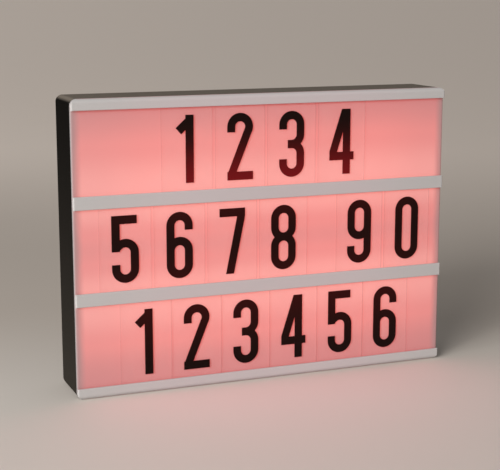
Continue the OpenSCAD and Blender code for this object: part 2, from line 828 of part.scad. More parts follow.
module colour_switch_body() {
    color("#3a3a3c") {
        block(button_x, board_z, tact_side, tact_side, board_d, tact_d);
        rod(button_x, board_z, plunger_dia, tact_d - eps, tact_d + plunger_t);
    }
}

module colour_button() {
    color("#d8d5d0") {
        rod(button_x, board_z, button_dia + 2 * flange_over, flange_d, flange_d + flange_t);
        rod(button_x, board_z, button_dia, flange_d, box_d - 0.6);
    }
}

// The inlet's shell stays open in the middle, round its pin.
module power_inlet() {
    color("#141415") difference() {
        union() {
            block(inlet_x - inlet_body[0] / 2, inlet_z, inlet_body[0], inlet_body[2],
                inlet_d - inlet_body[1] / 2, inlet_d + inlet_body[1] / 2);
            cross_rod(inlet_x - eps, inlet_nose_x, inlet_d, inlet_z, inlet_nose_dia);
        }
        cross_rod(inlet_nose_x - inlet_bore_l, inlet_nose_x + eps, inlet_d, inlet_z, inlet_bore_dia);
    }
}

module power_inlet_pin() {
    color("#c9c6bc") cross_rod(inlet_nose_x - inlet_bore_l, inlet_nose_x - 0.5, inlet_d, inlet_z,
        inlet_pin_dia);
}

// ---- screws ----

module case_screws() {
    color("#b9b9ba") for (c = columns) difference() {
        union() {
            rod(c[0], c[1], screw_dia, screw_d - screw_l, screw_d + eps);
            rod(c[0], c[1], screw_head_dia, screw_d, screw_d + screw_head_t);
        }
        for (w = [[3, 0.7], [0.7, 3]])
            block(c[0], c[1], w[0], w[1], screw_d + screw_head_t - 1, screw_d + screw_head_t + eps);
    }
}

module board_screws() {
    color("#b9b9ba") for (p = posts) difference() {
        union() {
            rod(p[0], p[1], post_screw_head_dia, board_front_d - post_screw_head_t, board_front_d);
            rod(p[0], p[1], post_screw_dia, board_front_d - eps, board_front_d + post_screw_l);
        }
        for (w = [[2.2, 0.5], [0.5, 2.2]])
            block(p[0], p[1], w[0], w[1], board_front_d - post_screw_head_t - eps,
                board_front_d - post_screw_head_t + 0.7);
    }
}

// ---- battery door and contacts ----

module battery_door() {
    door_top = bay_z + door_h / 2;
    color("#1b1917") difference() {
        union() {
            slab(door_d, box_d) {
                translate([0, bay_z]) round_rect(door_w, door_h, door_corner_r);
                translate([-door_w / 2, hinge_z]) square([door_w, door_h / 2 - hinge_r]);
            }
            cross_rod(-door_w / 2, door_w / 2, hinge_d, hinge_z, 2 * hinge_r);
            cross_rod(-door_w / 2 - pintle_l, door_w / 2 + pintle_l, hinge_d, hinge_z, pintle_dia);
            cross_rod(-latch_w / 4, latch_w / 4, box_d - door_t / 2, door_top, 2 * detent_r);
        }
        // The door's lower outer edge is round, about the hinge.
        difference() {
            block(0, bay_z - door_h / 2, door_w + 1, 2 * hinge_r, door_d, box_d + eps);
            cross_rod(-door_w / 2 - 1, door_w / 2 + 1, hinge_d, hinge_z, 2 * hinge_r);
        }
        for (side = [-1, 1])
            block(side * latch_w / 2, door_top - latch_l / 2, slit_w, latch_l + 1, door_d - eps, box_d + eps);
        for (i = [1:grips])
            block(0, door_top - 2 * i * grip_w, latch_w - 4, grip_w, box_d - 0.6, box_d + eps);
    }
}

// A contact plate at one end of a stack, over one row of cells or over two that it joins.
module contact_pad(stack, side, row, rows_joined) {
    inner = stack_end(stack, side);
    joined_h = (rows_joined - 1) * (cell_dia + cell_gap);
    block(inner - side * contact_t / 2, cell_z(row) + joined_h / 2, contact_t, contact_side + joined_h,
        cell_d - contact_side / 2, cell_d + contact_side / 2);
}

module contact_plates() {
    color("#c8c4b8") {
        contact_pad(-1, -1, 0, 2);
        contact_pad(-1, -1, 2, 1);
        contact_pad(1, 1, 0, 1);
        contact_pad(1, 1, 1, 2);
        for (row = [0:cell_rows - 1], stack = stacks) contact_pad(stack, -stack, row, 1);
    }
}

// Where a cell's button meets its contact plate.
function button_tip(stack, row) =
    stack_end(stack, button_side(row)) - button_side(row) * (contact_t + fit);

module battery_cell(i) {
    stack = stacks[floor((i - 1) / cell_rows)];
    row = (i - 1) % cell_rows;
    tip = point(button_tip(stack, row), cell_d, cell_z(row));
    body_l = cell_l - button_l;
    color("#3d6f52") translate(tip) rotate([0, -90 * button_side(row), 0]) rotate_extrude() {
        square([button_dia_of_cell / 2, 2 * button_l]);
        translate([0, button_l]) square([cell_dia / 2 - cell_edge_r, body_l]);
        translate([0, button_l + cell_edge_r]) square([cell_dia / 2, body_l - 2 * cell_edge_r]);
        for (y = [button_l + cell_edge_r, button_l + body_l - cell_edge_r])
            translate([cell_dia / 2 - cell_edge_r, y]) circle(cell_edge_r);
    }
}

module contact_springs() {
    color("#d6d3ca") for (stack = stacks, row = [0:cell_rows - 1]) {
        away = button_side(row);
        base = stack_end(stack, -away) + away * (contact_t + fit / 2);
        translate(point(base, cell_d, cell_z(row))) rotate([0, 0, away == 1 ? 0 : 180])
            tube(spring_path, spring_wire, spring_sides, [1, 0, 0]);
    }
}

// ---- leads ----

module battery_leads() {
    color("#b3231f") tube(near_lead, lead_dia, lead_sides, [0, 0, 1]);
    color("#222222") tube(far_lead, lead_dia, lead_sides, [0, 0, 1]);
}

module lamp_leads() {
    lower_top = rail_z(middle) + lamp_board_h / 2;
    upper_bottom = rail_z(top) - lamp_board_h / 2;
    color("#e8e6e0") for (x = lamp_lead_xs) {
        tube(lamp_lead(x), lead_dia, lead_sides, [1, 0, 0]);
        translate(point(x, lead_lie_d, lower_top)) cylinder(h = upper_bottom - lower_top, d = lead_dia);
    }
}

rear_case();
front_panel();
rail_top();
rail_upper();
rail_lower();
rail_bottom();
reflector_sheet();
lamp_board_upper();
lamp_board_lower();
lamps_upper();
lamps_lower();
control_board();
driver_chip();
smoothing_capacitor();
lead_sockets();
power_switch_body();
power_switch_knob();
colour_switch_body();
colour_button();
power_inlet();
power_inlet_pin();
case_screws();
board_screws();
battery_door();
contact_plates();
contact_springs();
battery_leads();
lamp_leads();
for (i = [1:2 * cell_rows])
    battery_cell(i);
for (row = rows, i = [0:row_tiles[row] - 1])
    tile(row, i);
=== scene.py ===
"""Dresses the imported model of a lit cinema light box: finishes, numerals, inner parts and the stage."""

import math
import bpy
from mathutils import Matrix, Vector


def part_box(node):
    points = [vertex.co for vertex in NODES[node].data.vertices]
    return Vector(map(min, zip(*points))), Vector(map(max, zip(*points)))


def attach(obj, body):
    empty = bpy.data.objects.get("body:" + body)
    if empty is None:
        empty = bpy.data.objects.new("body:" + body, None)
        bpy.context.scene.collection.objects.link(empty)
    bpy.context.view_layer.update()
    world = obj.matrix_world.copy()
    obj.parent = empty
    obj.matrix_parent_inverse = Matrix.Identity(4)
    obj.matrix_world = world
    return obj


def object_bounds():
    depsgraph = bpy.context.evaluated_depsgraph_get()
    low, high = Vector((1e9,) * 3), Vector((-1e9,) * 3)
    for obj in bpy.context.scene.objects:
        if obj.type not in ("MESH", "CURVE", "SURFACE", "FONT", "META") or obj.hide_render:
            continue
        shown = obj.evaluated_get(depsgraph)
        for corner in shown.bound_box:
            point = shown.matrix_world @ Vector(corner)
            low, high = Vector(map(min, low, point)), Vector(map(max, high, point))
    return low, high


bl_info = {
    "name": "Cinema Light Box",
    "version": (1, 0, 0),
    "blender": (4, 5, 0),
    "location": "3D View > Sidebar > Light Box",
    "description": "Finishes, numerals, inner parts and stage for a lit box with rows of sliding tiles",
    "category": "Object",
}

import bmesh
import bpy
from mathutils import Matrix, Vector

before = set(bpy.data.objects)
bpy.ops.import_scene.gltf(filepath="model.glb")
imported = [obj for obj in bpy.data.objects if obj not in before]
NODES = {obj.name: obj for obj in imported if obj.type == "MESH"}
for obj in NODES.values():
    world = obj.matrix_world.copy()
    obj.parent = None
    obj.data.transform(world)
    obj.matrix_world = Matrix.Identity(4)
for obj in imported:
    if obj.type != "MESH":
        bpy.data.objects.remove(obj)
CAD_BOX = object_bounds()

MM = 0.001
HALF_WIDTH = CAD_BOX[1][0]
HALF_DEPTH = CAD_BOX[1][1]
TOP = CAD_BOX[1][2]

# One lamp strip: how many lamps, from middle to middle, and how wide one is.
LAMP_COUNT = 9
LAMP_PITCH = 0.028
LAMP_WIDTH = 0.005

CELL_COUNT = 6

# The numerals of each row of tiles, from left to right.
ROWS = {"top": "1234", "middle": "567890", "bottom": "123456"}


def middle_of(node):
    low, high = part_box(node)
    return (low + high) / 2


UPPER_LAMPS_Z = middle_of("lamp_board_upper").z
LOWER_LAMPS_Z = middle_of("lamp_board_lower").z


def tone(code):
    """A colour from its six hex digits, as linear light with alpha."""
    parts = [int(code[i:i + 2], 16) / 255 for i in (0, 2, 4)]
    return tuple(p / 12.92 if p <= 0.04045 else ((p + 0.055) / 1.055) ** 2.4 for p in parts) + (1.0,)


# ---- what a user would change ----


class LightBoxNumerals(bpy.types.PropertyGroup):
    """Sizes of the numerals on the tiles."""

    height: bpy.props.FloatProperty(
        name="Height", description="Height of a numeral", default=0.05, min=0.03, max=0.055, unit="LENGTH")
    width: bpy.props.FloatProperty(
        name="Width", description="Width of a numeral", default=0.0205, min=0.015, max=0.03, unit="LENGTH")
    stroke: bpy.props.FloatProperty(
        name="Stroke", description="Width of a numeral's strokes", default=0.0063, min=0.003, max=0.008,
        unit="LENGTH")
    film: bpy.props.FloatProperty(
        name="Film", description="Thickness of the printed film", default=0.00006, min=0.00002, max=0.0002,
        unit="LENGTH")


class LightBoxColours(bpy.types.PropertyGroup):
    """Colours of the box's finishes."""

    case: bpy.props.FloatVectorProperty(
        name="Case", description="Colour of the moulded case and battery door", subtype="COLOR", size=4,
        default=(0.0036, 0.0032, 0.0028, 1.0), min=0.0, max=1.0)
    rail: bpy.props.FloatVectorProperty(
        name="Rails", description="Colour of the white rails", subtype="COLOR", size=4,
        default=(0.47, 0.463, 0.463, 1.0), min=0.0, max=1.0)
    glow_dim: bpy.props.FloatVectorProperty(
        name="Dim glow", description="Colour of the panel far from the lamps", subtype="COLOR", size=4,
        default=(0.37, 0.003, 0.003, 1.0), min=0.0, max=1.0)
    glow_middle: bpy.props.FloatVectorProperty(
        name="Middle glow", description="Colour of the panel between the lamps", subtype="COLOR", size=4,
        default=(0.59, 0.048, 0.036, 1.0), min=0.0, max=1.0)
    glow_bright: bpy.props.FloatVectorProperty(
        name="Bright glow", description="Colour of the panel in front of the lamps", subtype="COLOR",
        size=4, default=(0.69, 0.135, 0.11, 1.0), min=0.0, max=1.0)


class LightBoxStage(bpy.types.PropertyGroup):
    """Light and ground of the picture."""

    key_strength: bpy.props.FloatProperty(
        name="Key light", description="Strength of the soft key light", default=2.1, min=0.0, max=10.0)
    key_angle: bpy.props.FloatProperty(
        name="Key size", description="Apparent size of the key light", default=math.radians(27), min=0.0,
        max=math.radians(120), subtype="ANGLE")
    sky_strength: bpy.props.FloatProperty(
        name="Room light", description="Strength of the even light from all round", default=0.26, min=0.0,
        max=5.0)
    side_strength: bpy.props.FloatProperty(
        name="Side light", description="Power of the softbox on the left", default=15.0, min=0.0, max=200.0)
    spill_strength: bpy.props.FloatProperty(
        name="Panel spill", description="Power of the light that the panel throws ahead", default=0.085,
        min=0.0, max=20.0)
    floor_radius: bpy.props.FloatProperty(
        name="Floor radius", description="Radius of the pale floor", default=80.0, min=1.0, max=200.0,
        unit="LENGTH")


# ---- helpers for node trees ----


class Wires:
    """Adds nodes to a tree and joins them as it goes."""

    def __init__(self, tree):
        self.tree = tree
        self.count = 0

    def node(self, kind, inputs=None, **settings):
        made = self.tree.nodes.new(kind)
        made.location = (220 * (self.count % 7), -320 * (self.count // 7))
        self.count += 1
        for name, value in settings.items():
            setattr(made, name, value)
        for name, value in (inputs or {}).items():
            if isinstance(value, bpy.types.NodeSocket):
                self.tree.links.new(value, made.inputs[name])
            else:
                made.inputs[name].default_value = value
        return made

    def math(self, operation, a, b=0.0, clamp=False):
        return self.node("ShaderNodeMath", {0: a, 1: b}, operation=operation, use_clamp=clamp).outputs[0]

    def plus(self, a, b, clamp=False):
        return self.math("ADD", a, b, clamp)

    def minus(self, a, b, clamp=False):
        return self.math("SUBTRACT", a, b, clamp)

    def times(self, a, b, clamp=False):
        return self.math("MULTIPLY", a, b, clamp)

    def mix(self, factor, a, b):
        """One colour that turns from a to b as the factor goes from 0 to 1."""
        return self.node("ShaderNodeMix", {0: factor, 6: a, 7: b}, data_type="RGBA").outputs[2]

    def scaled(self, colour, factor):
        """A colour with all three channels times one factor."""
        return self.node("ShaderNodeVectorMath", {0: colour, "Scale": factor}, operation="SCALE").outputs[0]

    def spread(self, value, low, high, to_low=0.0, to_high=1.0, smooth=False):
        """A value that goes from to_low to to_high while another goes from low to high, and stays there."""
        kind = "SMOOTHSTEP" if smooth else "LINEAR"
        made = self.node("ShaderNodeMapRange", {0: value, 1: low, 2: high, 3: to_low, 4: to_high},
                         interpolation_type=kind)
        return made.outputs[0]

    def noise(self, scale, detail=2.0, place=None):
        inputs = {"Scale": scale, "Detail": detail, "Roughness": 0.55}
        inputs["Vector"] = place if place is not None else self.place()
        return self.node("ShaderNodeTexNoise", inputs).outputs[0]

    def place(self):
        """The point itself, in the object's own space."""
        return self.node("ShaderNodeTexCoord").outputs["Object"]

    def facing(self):
        """The surface's direction as three values, in the object's own space."""
        normal = self.node("ShaderNodeTexCoord").outputs["Normal"]
        return self.node("ShaderNodeSeparateXYZ", {0: normal}).outputs

    def position(self):
        """The point's three coordinates."""
        return self.node("ShaderNodeSeparateXYZ", {0: self.place()}).outputs

    def group(self, tree, inputs):
        return self.node("ShaderNodeGroup", inputs, node_tree=tree).outputs

    def bump(self, height, depth, strength=0.6):
        made = self.node("ShaderNodeBump", {"Strength": strength, "Distance": depth, "Height": height})
        return made.outputs[0]


FLOAT = "NodeSocketFloat"
COLOUR = "NodeSocketColor"


def shader_group(name, inputs, outputs, build):
    """A shared effect: build gets the wires and the inputs, and returns what each output is fed by."""
    tree = bpy.data.node_groups.get(name)
    if tree:
        return tree
    tree = bpy.data.node_groups.new(name, "ShaderNodeTree")
    for label, kind, value in inputs:
        tree.interface.new_socket(label, in_out="INPUT", socket_type=kind).default_value = value
    for label, kind in outputs:
        tree.interface.new_socket(label, in_out="OUTPUT", socket_type=kind)
    wires = Wires(tree)
    start = wires.node("NodeGroupInput").outputs
    fed = build(wires, start)
    wires.node("NodeGroupOutput", fed)
    return tree


def moulded_grain():
    """Fine grain, slow changes of tone and uneven gloss, as on moulded plastic."""

    def build(wires, start):
        slow_share = 0.75
        gloss_spread = 0.22
        slow = wires.noise(scale=11.0, detail=3.0)
        fine = wires.noise(start["Grain Scale"], detail=3.0)
        both = wires.plus(wires.times(slow, slow_share), wires.times(fine, 1.0 - slow_share))
        cloud = wires.minus(both, 0.5)
        gain = wires.plus(wires.times(cloud, start["Tone Spread"]), 1.0)
        shade = wires.scaled(start["Colour"], gain)
        rough = wires.plus(start["Roughness"], wires.times(cloud, gloss_spread), clamp=True)
        return {"Colour": shade, "Roughness": rough, "Height": fine}

    return shader_group(
        "moulded_grain",
        [("Colour", COLOUR, (0.5, 0.5, 0.5, 1.0)), ("Roughness", FLOAT, 0.5),
         ("Grain Scale", FLOAT, 1400.0), ("Tone Spread", FLOAT, 0.2)],
        [("Colour", COLOUR), ("Roughness", FLOAT), ("Height", FLOAT)], build)


def dust_and_painted_light():
    """A thin pale film on the top, on the sides near the floor and on the back, broken up by noise. On the
    case it is a dusty film and a painted sheen on the top, and painted light low on the sides and on the
    back.
    """

    def build(wires, start):
        low_film_height = 0.23
        low_film_falloff = 1.6
        dull = 0.3
        _, back, up = wires.facing()
        z = wires.position()[2]
        # Painted light: on the case the top film is partly a painted sheen, the low film paints light on
        # the lower sides, and the back film paints light on the back.
        on_top = wires.times(wires.spread(up, 0.35, 0.95, smooth=True),
                             wires.spread(z, TOP - 0.03, TOP - 0.01, to_low=0.15))
        low_down = wires.math("POWER", wires.spread(z, low_film_height, 0.0), low_film_falloff)
        behind = wires.spread(back, 0.4, 0.95, smooth=True)
        film = wires.times(on_top, start["Amount"])
        film = wires.plus(film, wires.times(low_down, start["Low Amount"]))
        film = wires.plus(film, wires.times(behind, start["Back Amount"]))
        patches = wires.spread(wires.noise(scale=420.0, detail=3.0), 0.3, 0.75, to_low=0.8)
        mask = wires.times(film, patches, clamp=True)
        shade = wires.mix(mask, start["Colour"], start["Dust And Light"])
        rough = wires.plus(start["Roughness"], wires.times(mask, dull), clamp=True)
        return {"Colour": shade, "Roughness": rough}

    return shader_group(
        "dust_and_painted_light",
        [("Colour", COLOUR, (0.5, 0.5, 0.5, 1.0)), ("Dust And Light", COLOUR, tone("8a8177")),
         ("Roughness", FLOAT, 0.5), ("Amount", FLOAT, 0.1), ("Low Amount", FLOAT, 0.0),
         ("Back Amount", FLOAT, 0.0)],
        [("Colour", COLOUR), ("Roughness", FLOAT)], build)


def drawn_metal():
    """Streaks along X and small flecks, as on stamped or plated metal."""

    def build(wires, start):
        streak_squeeze = 0.08
        tone_spread = 0.5
        gloss_spread = 0.4
        stretch = wires.node("ShaderNodeMapping", {
            "Vector": wires.place(), "Scale": (streak_squeeze, 1.0, 1.0)})
        streaks = wires.noise(start["Grain Scale"], detail=3.0, place=stretch.outputs[0])
        flecks = wires.noise(scale=350.0, detail=4.0)
        cloud = wires.minus(wires.times(wires.plus(streaks, flecks), 0.5), 0.5)
        gain = wires.plus(wires.times(cloud, tone_spread), 1.0)
        shade = wires.scaled(start["Colour"], gain)
        rough = wires.plus(start["Roughness"], wires.times(cloud, gloss_spread), clamp=True)
        return {"Colour": shade, "Roughness": rough, "Height": streaks}

    return shader_group(
        "drawn_metal",
        [("Colour", COLOUR, (0.6, 0.6, 0.6, 1.0)), ("Roughness", FLOAT, 0.3),
         ("Grain Scale", FLOAT, 2500.0)],
        [("Colour", COLOUR), ("Roughness", FLOAT), ("Height", FLOAT)], build)


def lamp_glow():
    """How bright the two lamp strips make the panel, from 0 to 1, and how it fades at its sides."""

    def build(wires, start):
        ripple_depth = 0.02
        cloud_depth = 0.07
        edge_start = -0.001
        edge_dimness = 0.2
        x, _, z = wires.position()
        side = wires.math("ABSOLUTE", x)

        def strip(height, outer_reach, above):
            """Light that falls off one way towards the other strip and another way outwards."""
            away = wires.minus(z, height) if above else wires.minus(height, z)
            outer = wires.math("GREATER_THAN", away, 0.0)
            further = wires.minus(outer_reach, start["Inner Reach"])
            reach = wires.plus(start["Inner Reach"], wires.times(outer, further))
            ratio = wires.math("DIVIDE", away, reach)
            squared = wires.times(ratio, ratio)
            return wires.math("EXPONENT", wires.times(squared, -1.0))

        upper = strip(start["Upper Lamps"], start["Upward Reach"], True)
        lower = strip(start["Lower Lamps"], start["Downward Reach"], False)
        total = wires.plus(upper, lower)
        pitch_per_turn = wires.math("DIVIDE", start["Lamp Pitch"], math.tau)
        wave = wires.math("COSINE", wires.math("DIVIDE", x, pitch_per_turn))
        near = wires.math("POWER", total, 4.0)
        ripple = wires.times(wires.times(wave, near), ripple_depth)
        inset = wires.minus(start["Half Width"], side)
        fade = wires.spread(inset, edge_start, start["Edge Fade"], to_low=edge_dimness, smooth=True)
        cloud = wires.times(wires.minus(wires.noise(scale=24.0), 0.5), cloud_depth)
        glow = wires.plus(wires.plus(total, ripple), cloud)
        return {"Glow": wires.times(glow, fade, clamp=True), "Edge": fade}

    return shader_group(
        "lamp_glow",
        [("Upper Lamps", FLOAT, UPPER_LAMPS_Z), ("Lower Lamps", FLOAT, LOWER_LAMPS_Z),
         ("Upward Reach", FLOAT, 0.044), ("Downward Reach", FLOAT, 0.038), ("Inner Reach", FLOAT, 0.026),
         ("Half Width", FLOAT, HALF_WIDTH), ("Edge Fade", FLOAT, 0.008), ("Lamp Pitch", FLOAT, LAMP_PITCH)],
        [("Glow", FLOAT), ("Edge", FLOAT)], build)


# ---- finishes ----


def new_material(name, constants, build):
    """A material with one Principled shader: constants sit on its sockets, build returns the rest."""
    made = bpy.data.materials.get(name)
    if made and made.get("light_box"):
        return made
    if made:
        made.name = name + "_plain"
    made = bpy.data.materials.new(name)
    made["light_box"] = True
    made.use_nodes = True
    made.node_tree.nodes.clear()
    wires = Wires(made.node_tree)
    shader = wires.node("ShaderNodeBsdfPrincipled", constants)
    wires.node("ShaderNodeOutputMaterial", {"Surface": shader.outputs[0]})
    for socket, value in build(wires).items():
        made.node_tree.links.new(value, shader.inputs[socket])
    return made


def grain_over(wires, colour, roughness, scale, spread):
    """What the shader takes from a grained colour, and the height of its grain."""
    made = wires.group(moulded_grain(), {
        "Colour": colour, "Roughness": roughness, "Grain Scale": scale, "Tone Spread": spread})
    return {"Base Color": made["Colour"], "Roughness": made["Roughness"]}, made["Height"]


def dust_and_light_over(wires, surface, top, low=0.0, back=0.0):
    """The same with a pale film, dusty in part and painted light in part, by its amount on the top, low
    down and on the back.
    """
    made = wires.group(dust_and_painted_light(), {
        "Colour": surface["Base Color"], "Roughness": surface["Roughness"], "Amount": top,
        "Low Amount": low, "Back Amount": back})
    return {"Base Color": made["Colour"], "Roughness": made["Roughness"]}


def plastic(name, colour, roughness, grain, spread, depth=0.00002, dust_and_light=(0.0, 0.0, 0.0), constants=None):
    """Moulded plastic with its grain and uneven gloss, and a pale film, partly dusty and partly painted
    light, on its top, low down and on its back.
    """

    def build(wires):
        surface, height = grain_over(wires, colour, roughness, grain, spread)
        surface = dust_and_light_over(wires, surface, *dust_and_light)
        return surface | {"Normal": wires.bump(height, depth)}

    return new_material(name, constants, build)


def metal(name, colour, roughness, grain):
    """Plated or stamped metal."""

    def build(wires):
        drawn = wires.group(drawn_metal(), {"Colour": colour, "Roughness": roughness, "Grain Scale": grain})
        return {"Base Color": drawn["Colour"], "Roughness": drawn["Roughness"],
                "Normal": wires.bump(drawn["Height"], 0.000006, strength=0.4)}

    return new_material(name, {"Metallic": 1.0}, build)


def case_black():
    """Matte black of the case and the battery door, with a dusty film and a painted sheen on its top, and
    painted light low on its sides and on its back.
    """
    colours = bpy.context.scene.light_box_colours
    # The film's amounts on the top, low down and on the back: a dusty film with a painted sheen, painted
    # light on the lower sides, painted light on the back.
    return plastic("case_black", tuple(colours.case), roughness=0.66, grain=1700.0, spread=0.5,
                   depth=0.00005, dust_and_light=(0.7, 0.12, 0.08), constants={"Specular IOR Level": 0.01})


def panel_opal():
    """Opal plastic lit from behind: only its front shines, less so at its edges and towards its sides."""
    colours = bpy.context.scene.light_box_colours

    def build(wires):
        middle_stop = 0.45
        unlit = (0.275, 0.26, 0.265, 1.0)
        glow = wires.group(lamp_glow(), {})
        ramp = wires.node("ShaderNodeValToRGB", {0: glow["Glow"]})
        ramp.color_ramp.interpolation = "EASE"
        stops = ramp.color_ramp.elements
        stops[0].color = colours.glow_dim
        stops[1].color = colours.glow_bright
        stops.new(middle_stop).color = colours.glow_middle
        front = wires.spread(wires.facing()[1], -0.3, -0.95, to_low=0.02, smooth=True)
        edge = wires.spread(glow["Edge"], 0.2, 1.0, to_low=0.35)
        side = wires.math("ABSOLUTE", wires.position()[0])
        past_lamps = wires.spread(side, HALF_WIDTH - 0.065, HALF_WIDTH - 0.003, to_low=1.07, to_high=0.93,
                                  smooth=True)
        light = wires.times(front, wires.times(edge, past_lamps))
        lit = wires.scaled(ramp.outputs[0], light)
        surface, height = grain_over(wires, unlit, roughness=0.4, scale=900.0, spread=0.08)
        return surface | {"Emission Color": lit, "Normal": wires.bump(height, 0.00001, strength=0.3)}

    constants = {"Emission Strength": 1.0, "IOR": 1.49, "Specular IOR Level": 0.3}
    return new_material("panel_opal", constants, build)


def rail_white():
    """White rails that let a trace of the lamps' light through."""
    colours = bpy.context.scene.light_box_colours

    def build(wires):
        surface, height = grain_over(wires, tuple(colours.rail), roughness=0.42, scale=1100.0, spread=0.08)
        surface = dust_and_light_over(wires, surface, top=0.08)
        glow = wires.group(lamp_glow(), {"Edge Fade": 0.09})
        front = wires.spread(wires.facing()[1], -0.5, -0.95, to_low=0.3, smooth=True)
        light = wires.times(front, wires.spread(glow["Edge"], 0.2, 1.0))
        no_light = (0.004, 0.002, 0.002, 1.0)
        full_light = (0.05, 0.004, 0.016, 1.0)
        seep = wires.mix(light, no_light, full_light)
        return surface | {"Emission Color": seep, "Normal": wires.bump(height, 0.00001, strength=0.4)}

    return new_material("rail_white", {"Emission Strength": 1.0, "IOR": 1.5}, build)


def tile_clear():
    """Clear tile: its broad faces are nearly invisible, its cut edges are denser; the pink of its faces is
    painted glow, and the darker red of its edges is painted shade and glow.
    """

    def build(wires):
        edge_density = 0.26
        # Painted light and shade: these tints stand in for the panel's glow through the tile and the shade
        # at its cut edges.
        broad_face_painted_pink = (0.75, 0.62, 0.6, 1.0)
        cut_edge_painted_shade = (0.5, 0.2, 0.19, 1.0)
        facing = wires.math("ABSOLUTE", wires.facing()[1])
        cut_edge = wires.spread(facing, 0.9, 0.4, smooth=True)
        haze = wires.spread(wires.noise(scale=90.0, detail=3.0), 0.3, 0.8, to_low=0.02, to_high=0.04)
        alpha = wires.plus(haze, wires.times(cut_edge, edge_density), clamp=True)
        shade = wires.mix(cut_edge, broad_face_painted_pink, cut_edge_painted_shade)
        rough = wires.spread(wires.noise(scale=60.0), 0.3, 0.7, to_low=0.08, to_high=0.2)
        return {"Base Color": shade, "Roughness": rough, "Alpha": alpha}

    return new_material("tile_clear", {"IOR": 1.49}, build)


def numeral_ink():
    """Black printing that lets a little red through, most of it on the top row next to the lamps."""

    def build(wires):
        ink = (0.004, 0.0035, 0.003, 1.0)
        lower_rows_share = 0.17
        no_light = (0.004, 0.0006, 0.0005, 1.0)
        full_light = (0.165, 0.004, 0.006, 1.0)
        glow = wires.group(lamp_glow(), {"Edge Fade": 0.06})
        z = wires.position()[2]
        near_lamps = wires.spread(z, UPPER_LAMPS_Z + 0.06, UPPER_LAMPS_Z + 0.012, to_low=0.06, smooth=True)
        top_row = wires.math("GREATER_THAN", z, UPPER_LAMPS_Z)
        more = wires.minus(near_lamps, lower_rows_share)
        share = wires.plus(lower_rows_share, wires.times(top_row, more))
        light = wires.times(wires.math("POWER", glow["Glow"], 1.2), share, clamp=True)
        shine = wires.mix(light, no_light, full_light)
        surface, _ = grain_over(wires, ink, roughness=0.4, scale=2200.0, spread=0.5)
        return surface | {"Emission Color": shine}

    return new_material("numeral_ink", {"Emission Strength": 1.0, "Specular IOR Level": 0.05}, build)


def board_finish(name, lacquer, track_colour, scale):
    """A lacquered circuit board with faint lines of track under the lacquer."""

    def build(wires):
        blocks = wires.node("ShaderNodeTexVoronoi", {"Vector": wires.place(), "Scale": scale},
                            distance="MANHATTAN", feature="F1")
        from_middle = blocks.outputs["Distance"]
        inside = wires.spread(from_middle, 0.34, 0.37)
        outside = wires.spread(from_middle, 0.42, 0.45)
        track = wires.minus(inside, outside, clamp=True)
        colour = wires.mix(track, lacquer, track_colour)
        surface, _ = grain_over(wires, colour, roughness=0.3, scale=1900.0, spread=0.2)
        return surface | {"Normal": wires.bump(track, 0.00003, strength=0.5)}

    return new_material(name, {"Coat Weight": 0.3}, build)


def lamp_resin():
    """Pale resin of the lamp bodies, which shine pink towards the front."""

    def build(wires):
        no_light = (0.02, 0.004, 0.003, 1.0)
        full_light = (0.9, 0.3, 0.25, 1.0)
        facing = wires.spread(wires.facing()[1], -0.4, -0.95, smooth=True)
        surface, _ = grain_over(wires, tone("f3ead0"), roughness=0.3, scale=2600.0, spread=0.15)
        shine = wires.mix(facing, no_light, full_light)
        return surface | {"Emission Color": shine}

    return new_material("lamp_resin", {"Emission Strength": 1.0}, build)


def lead_sheath():
    """Soft sheath: the pair to the batteries is red and black, the pairs to the lamps are white and red."""

    def build(wires):
        lamp_leads_start = 0.1
        x, _, z = wires.position()
        lower = wires.math("LESS_THAN", z, middle_of("control_board").z)
        battery = wires.mix(lower, tone("171616"), tone("a81e1a"))
        left = wires.math("LESS_THAN", x, middle_of("lamp_leads").x)
        lamp = wires.mix(left, tone("b3241f"), tone("dedad2"))
        to_lamps = wires.math("GREATER_THAN", x, lamp_leads_start)
        colour = wires.mix(to_lamps, battery, lamp)
        surface, height = grain_over(wires, colour, roughness=0.45, scale=3000.0, spread=0.2)
        return surface | {"Normal": wires.bump(height, 0.00002, strength=0.4)}

    return new_material("lead_sheath", {}, build)


def cell_wrap():
    """Shrink wrap of a cell: copper-coloured at the button end, then a pale line, then dark."""

    def build(wires):
        copper = tone("b06a3a")
        dark = tone("1d1e22")
        pale = tone("d9d4c8")
        along = wires.node("ShaderNodeAttribute", attribute_name="along").outputs["Fac"]
        band = wires.spread(along, 0.29, 0.3)
        line_start = wires.spread(along, 0.275, 0.28)
        line_end = wires.spread(along, 0.29, 0.295)
        line = wires.minus(line_start, line_end, clamp=True)
        colour = wires.mix(line, wires.mix(band, copper, dark), pale)
        surface, height = grain_over(wires, colour, roughness=0.28, scale=1500.0, spread=0.2)
        return surface | {"Normal": wires.bump(height, 0.00001, strength=0.4)}

    return new_material("cell_wrap", {"Coat Weight": 0.4}, build)


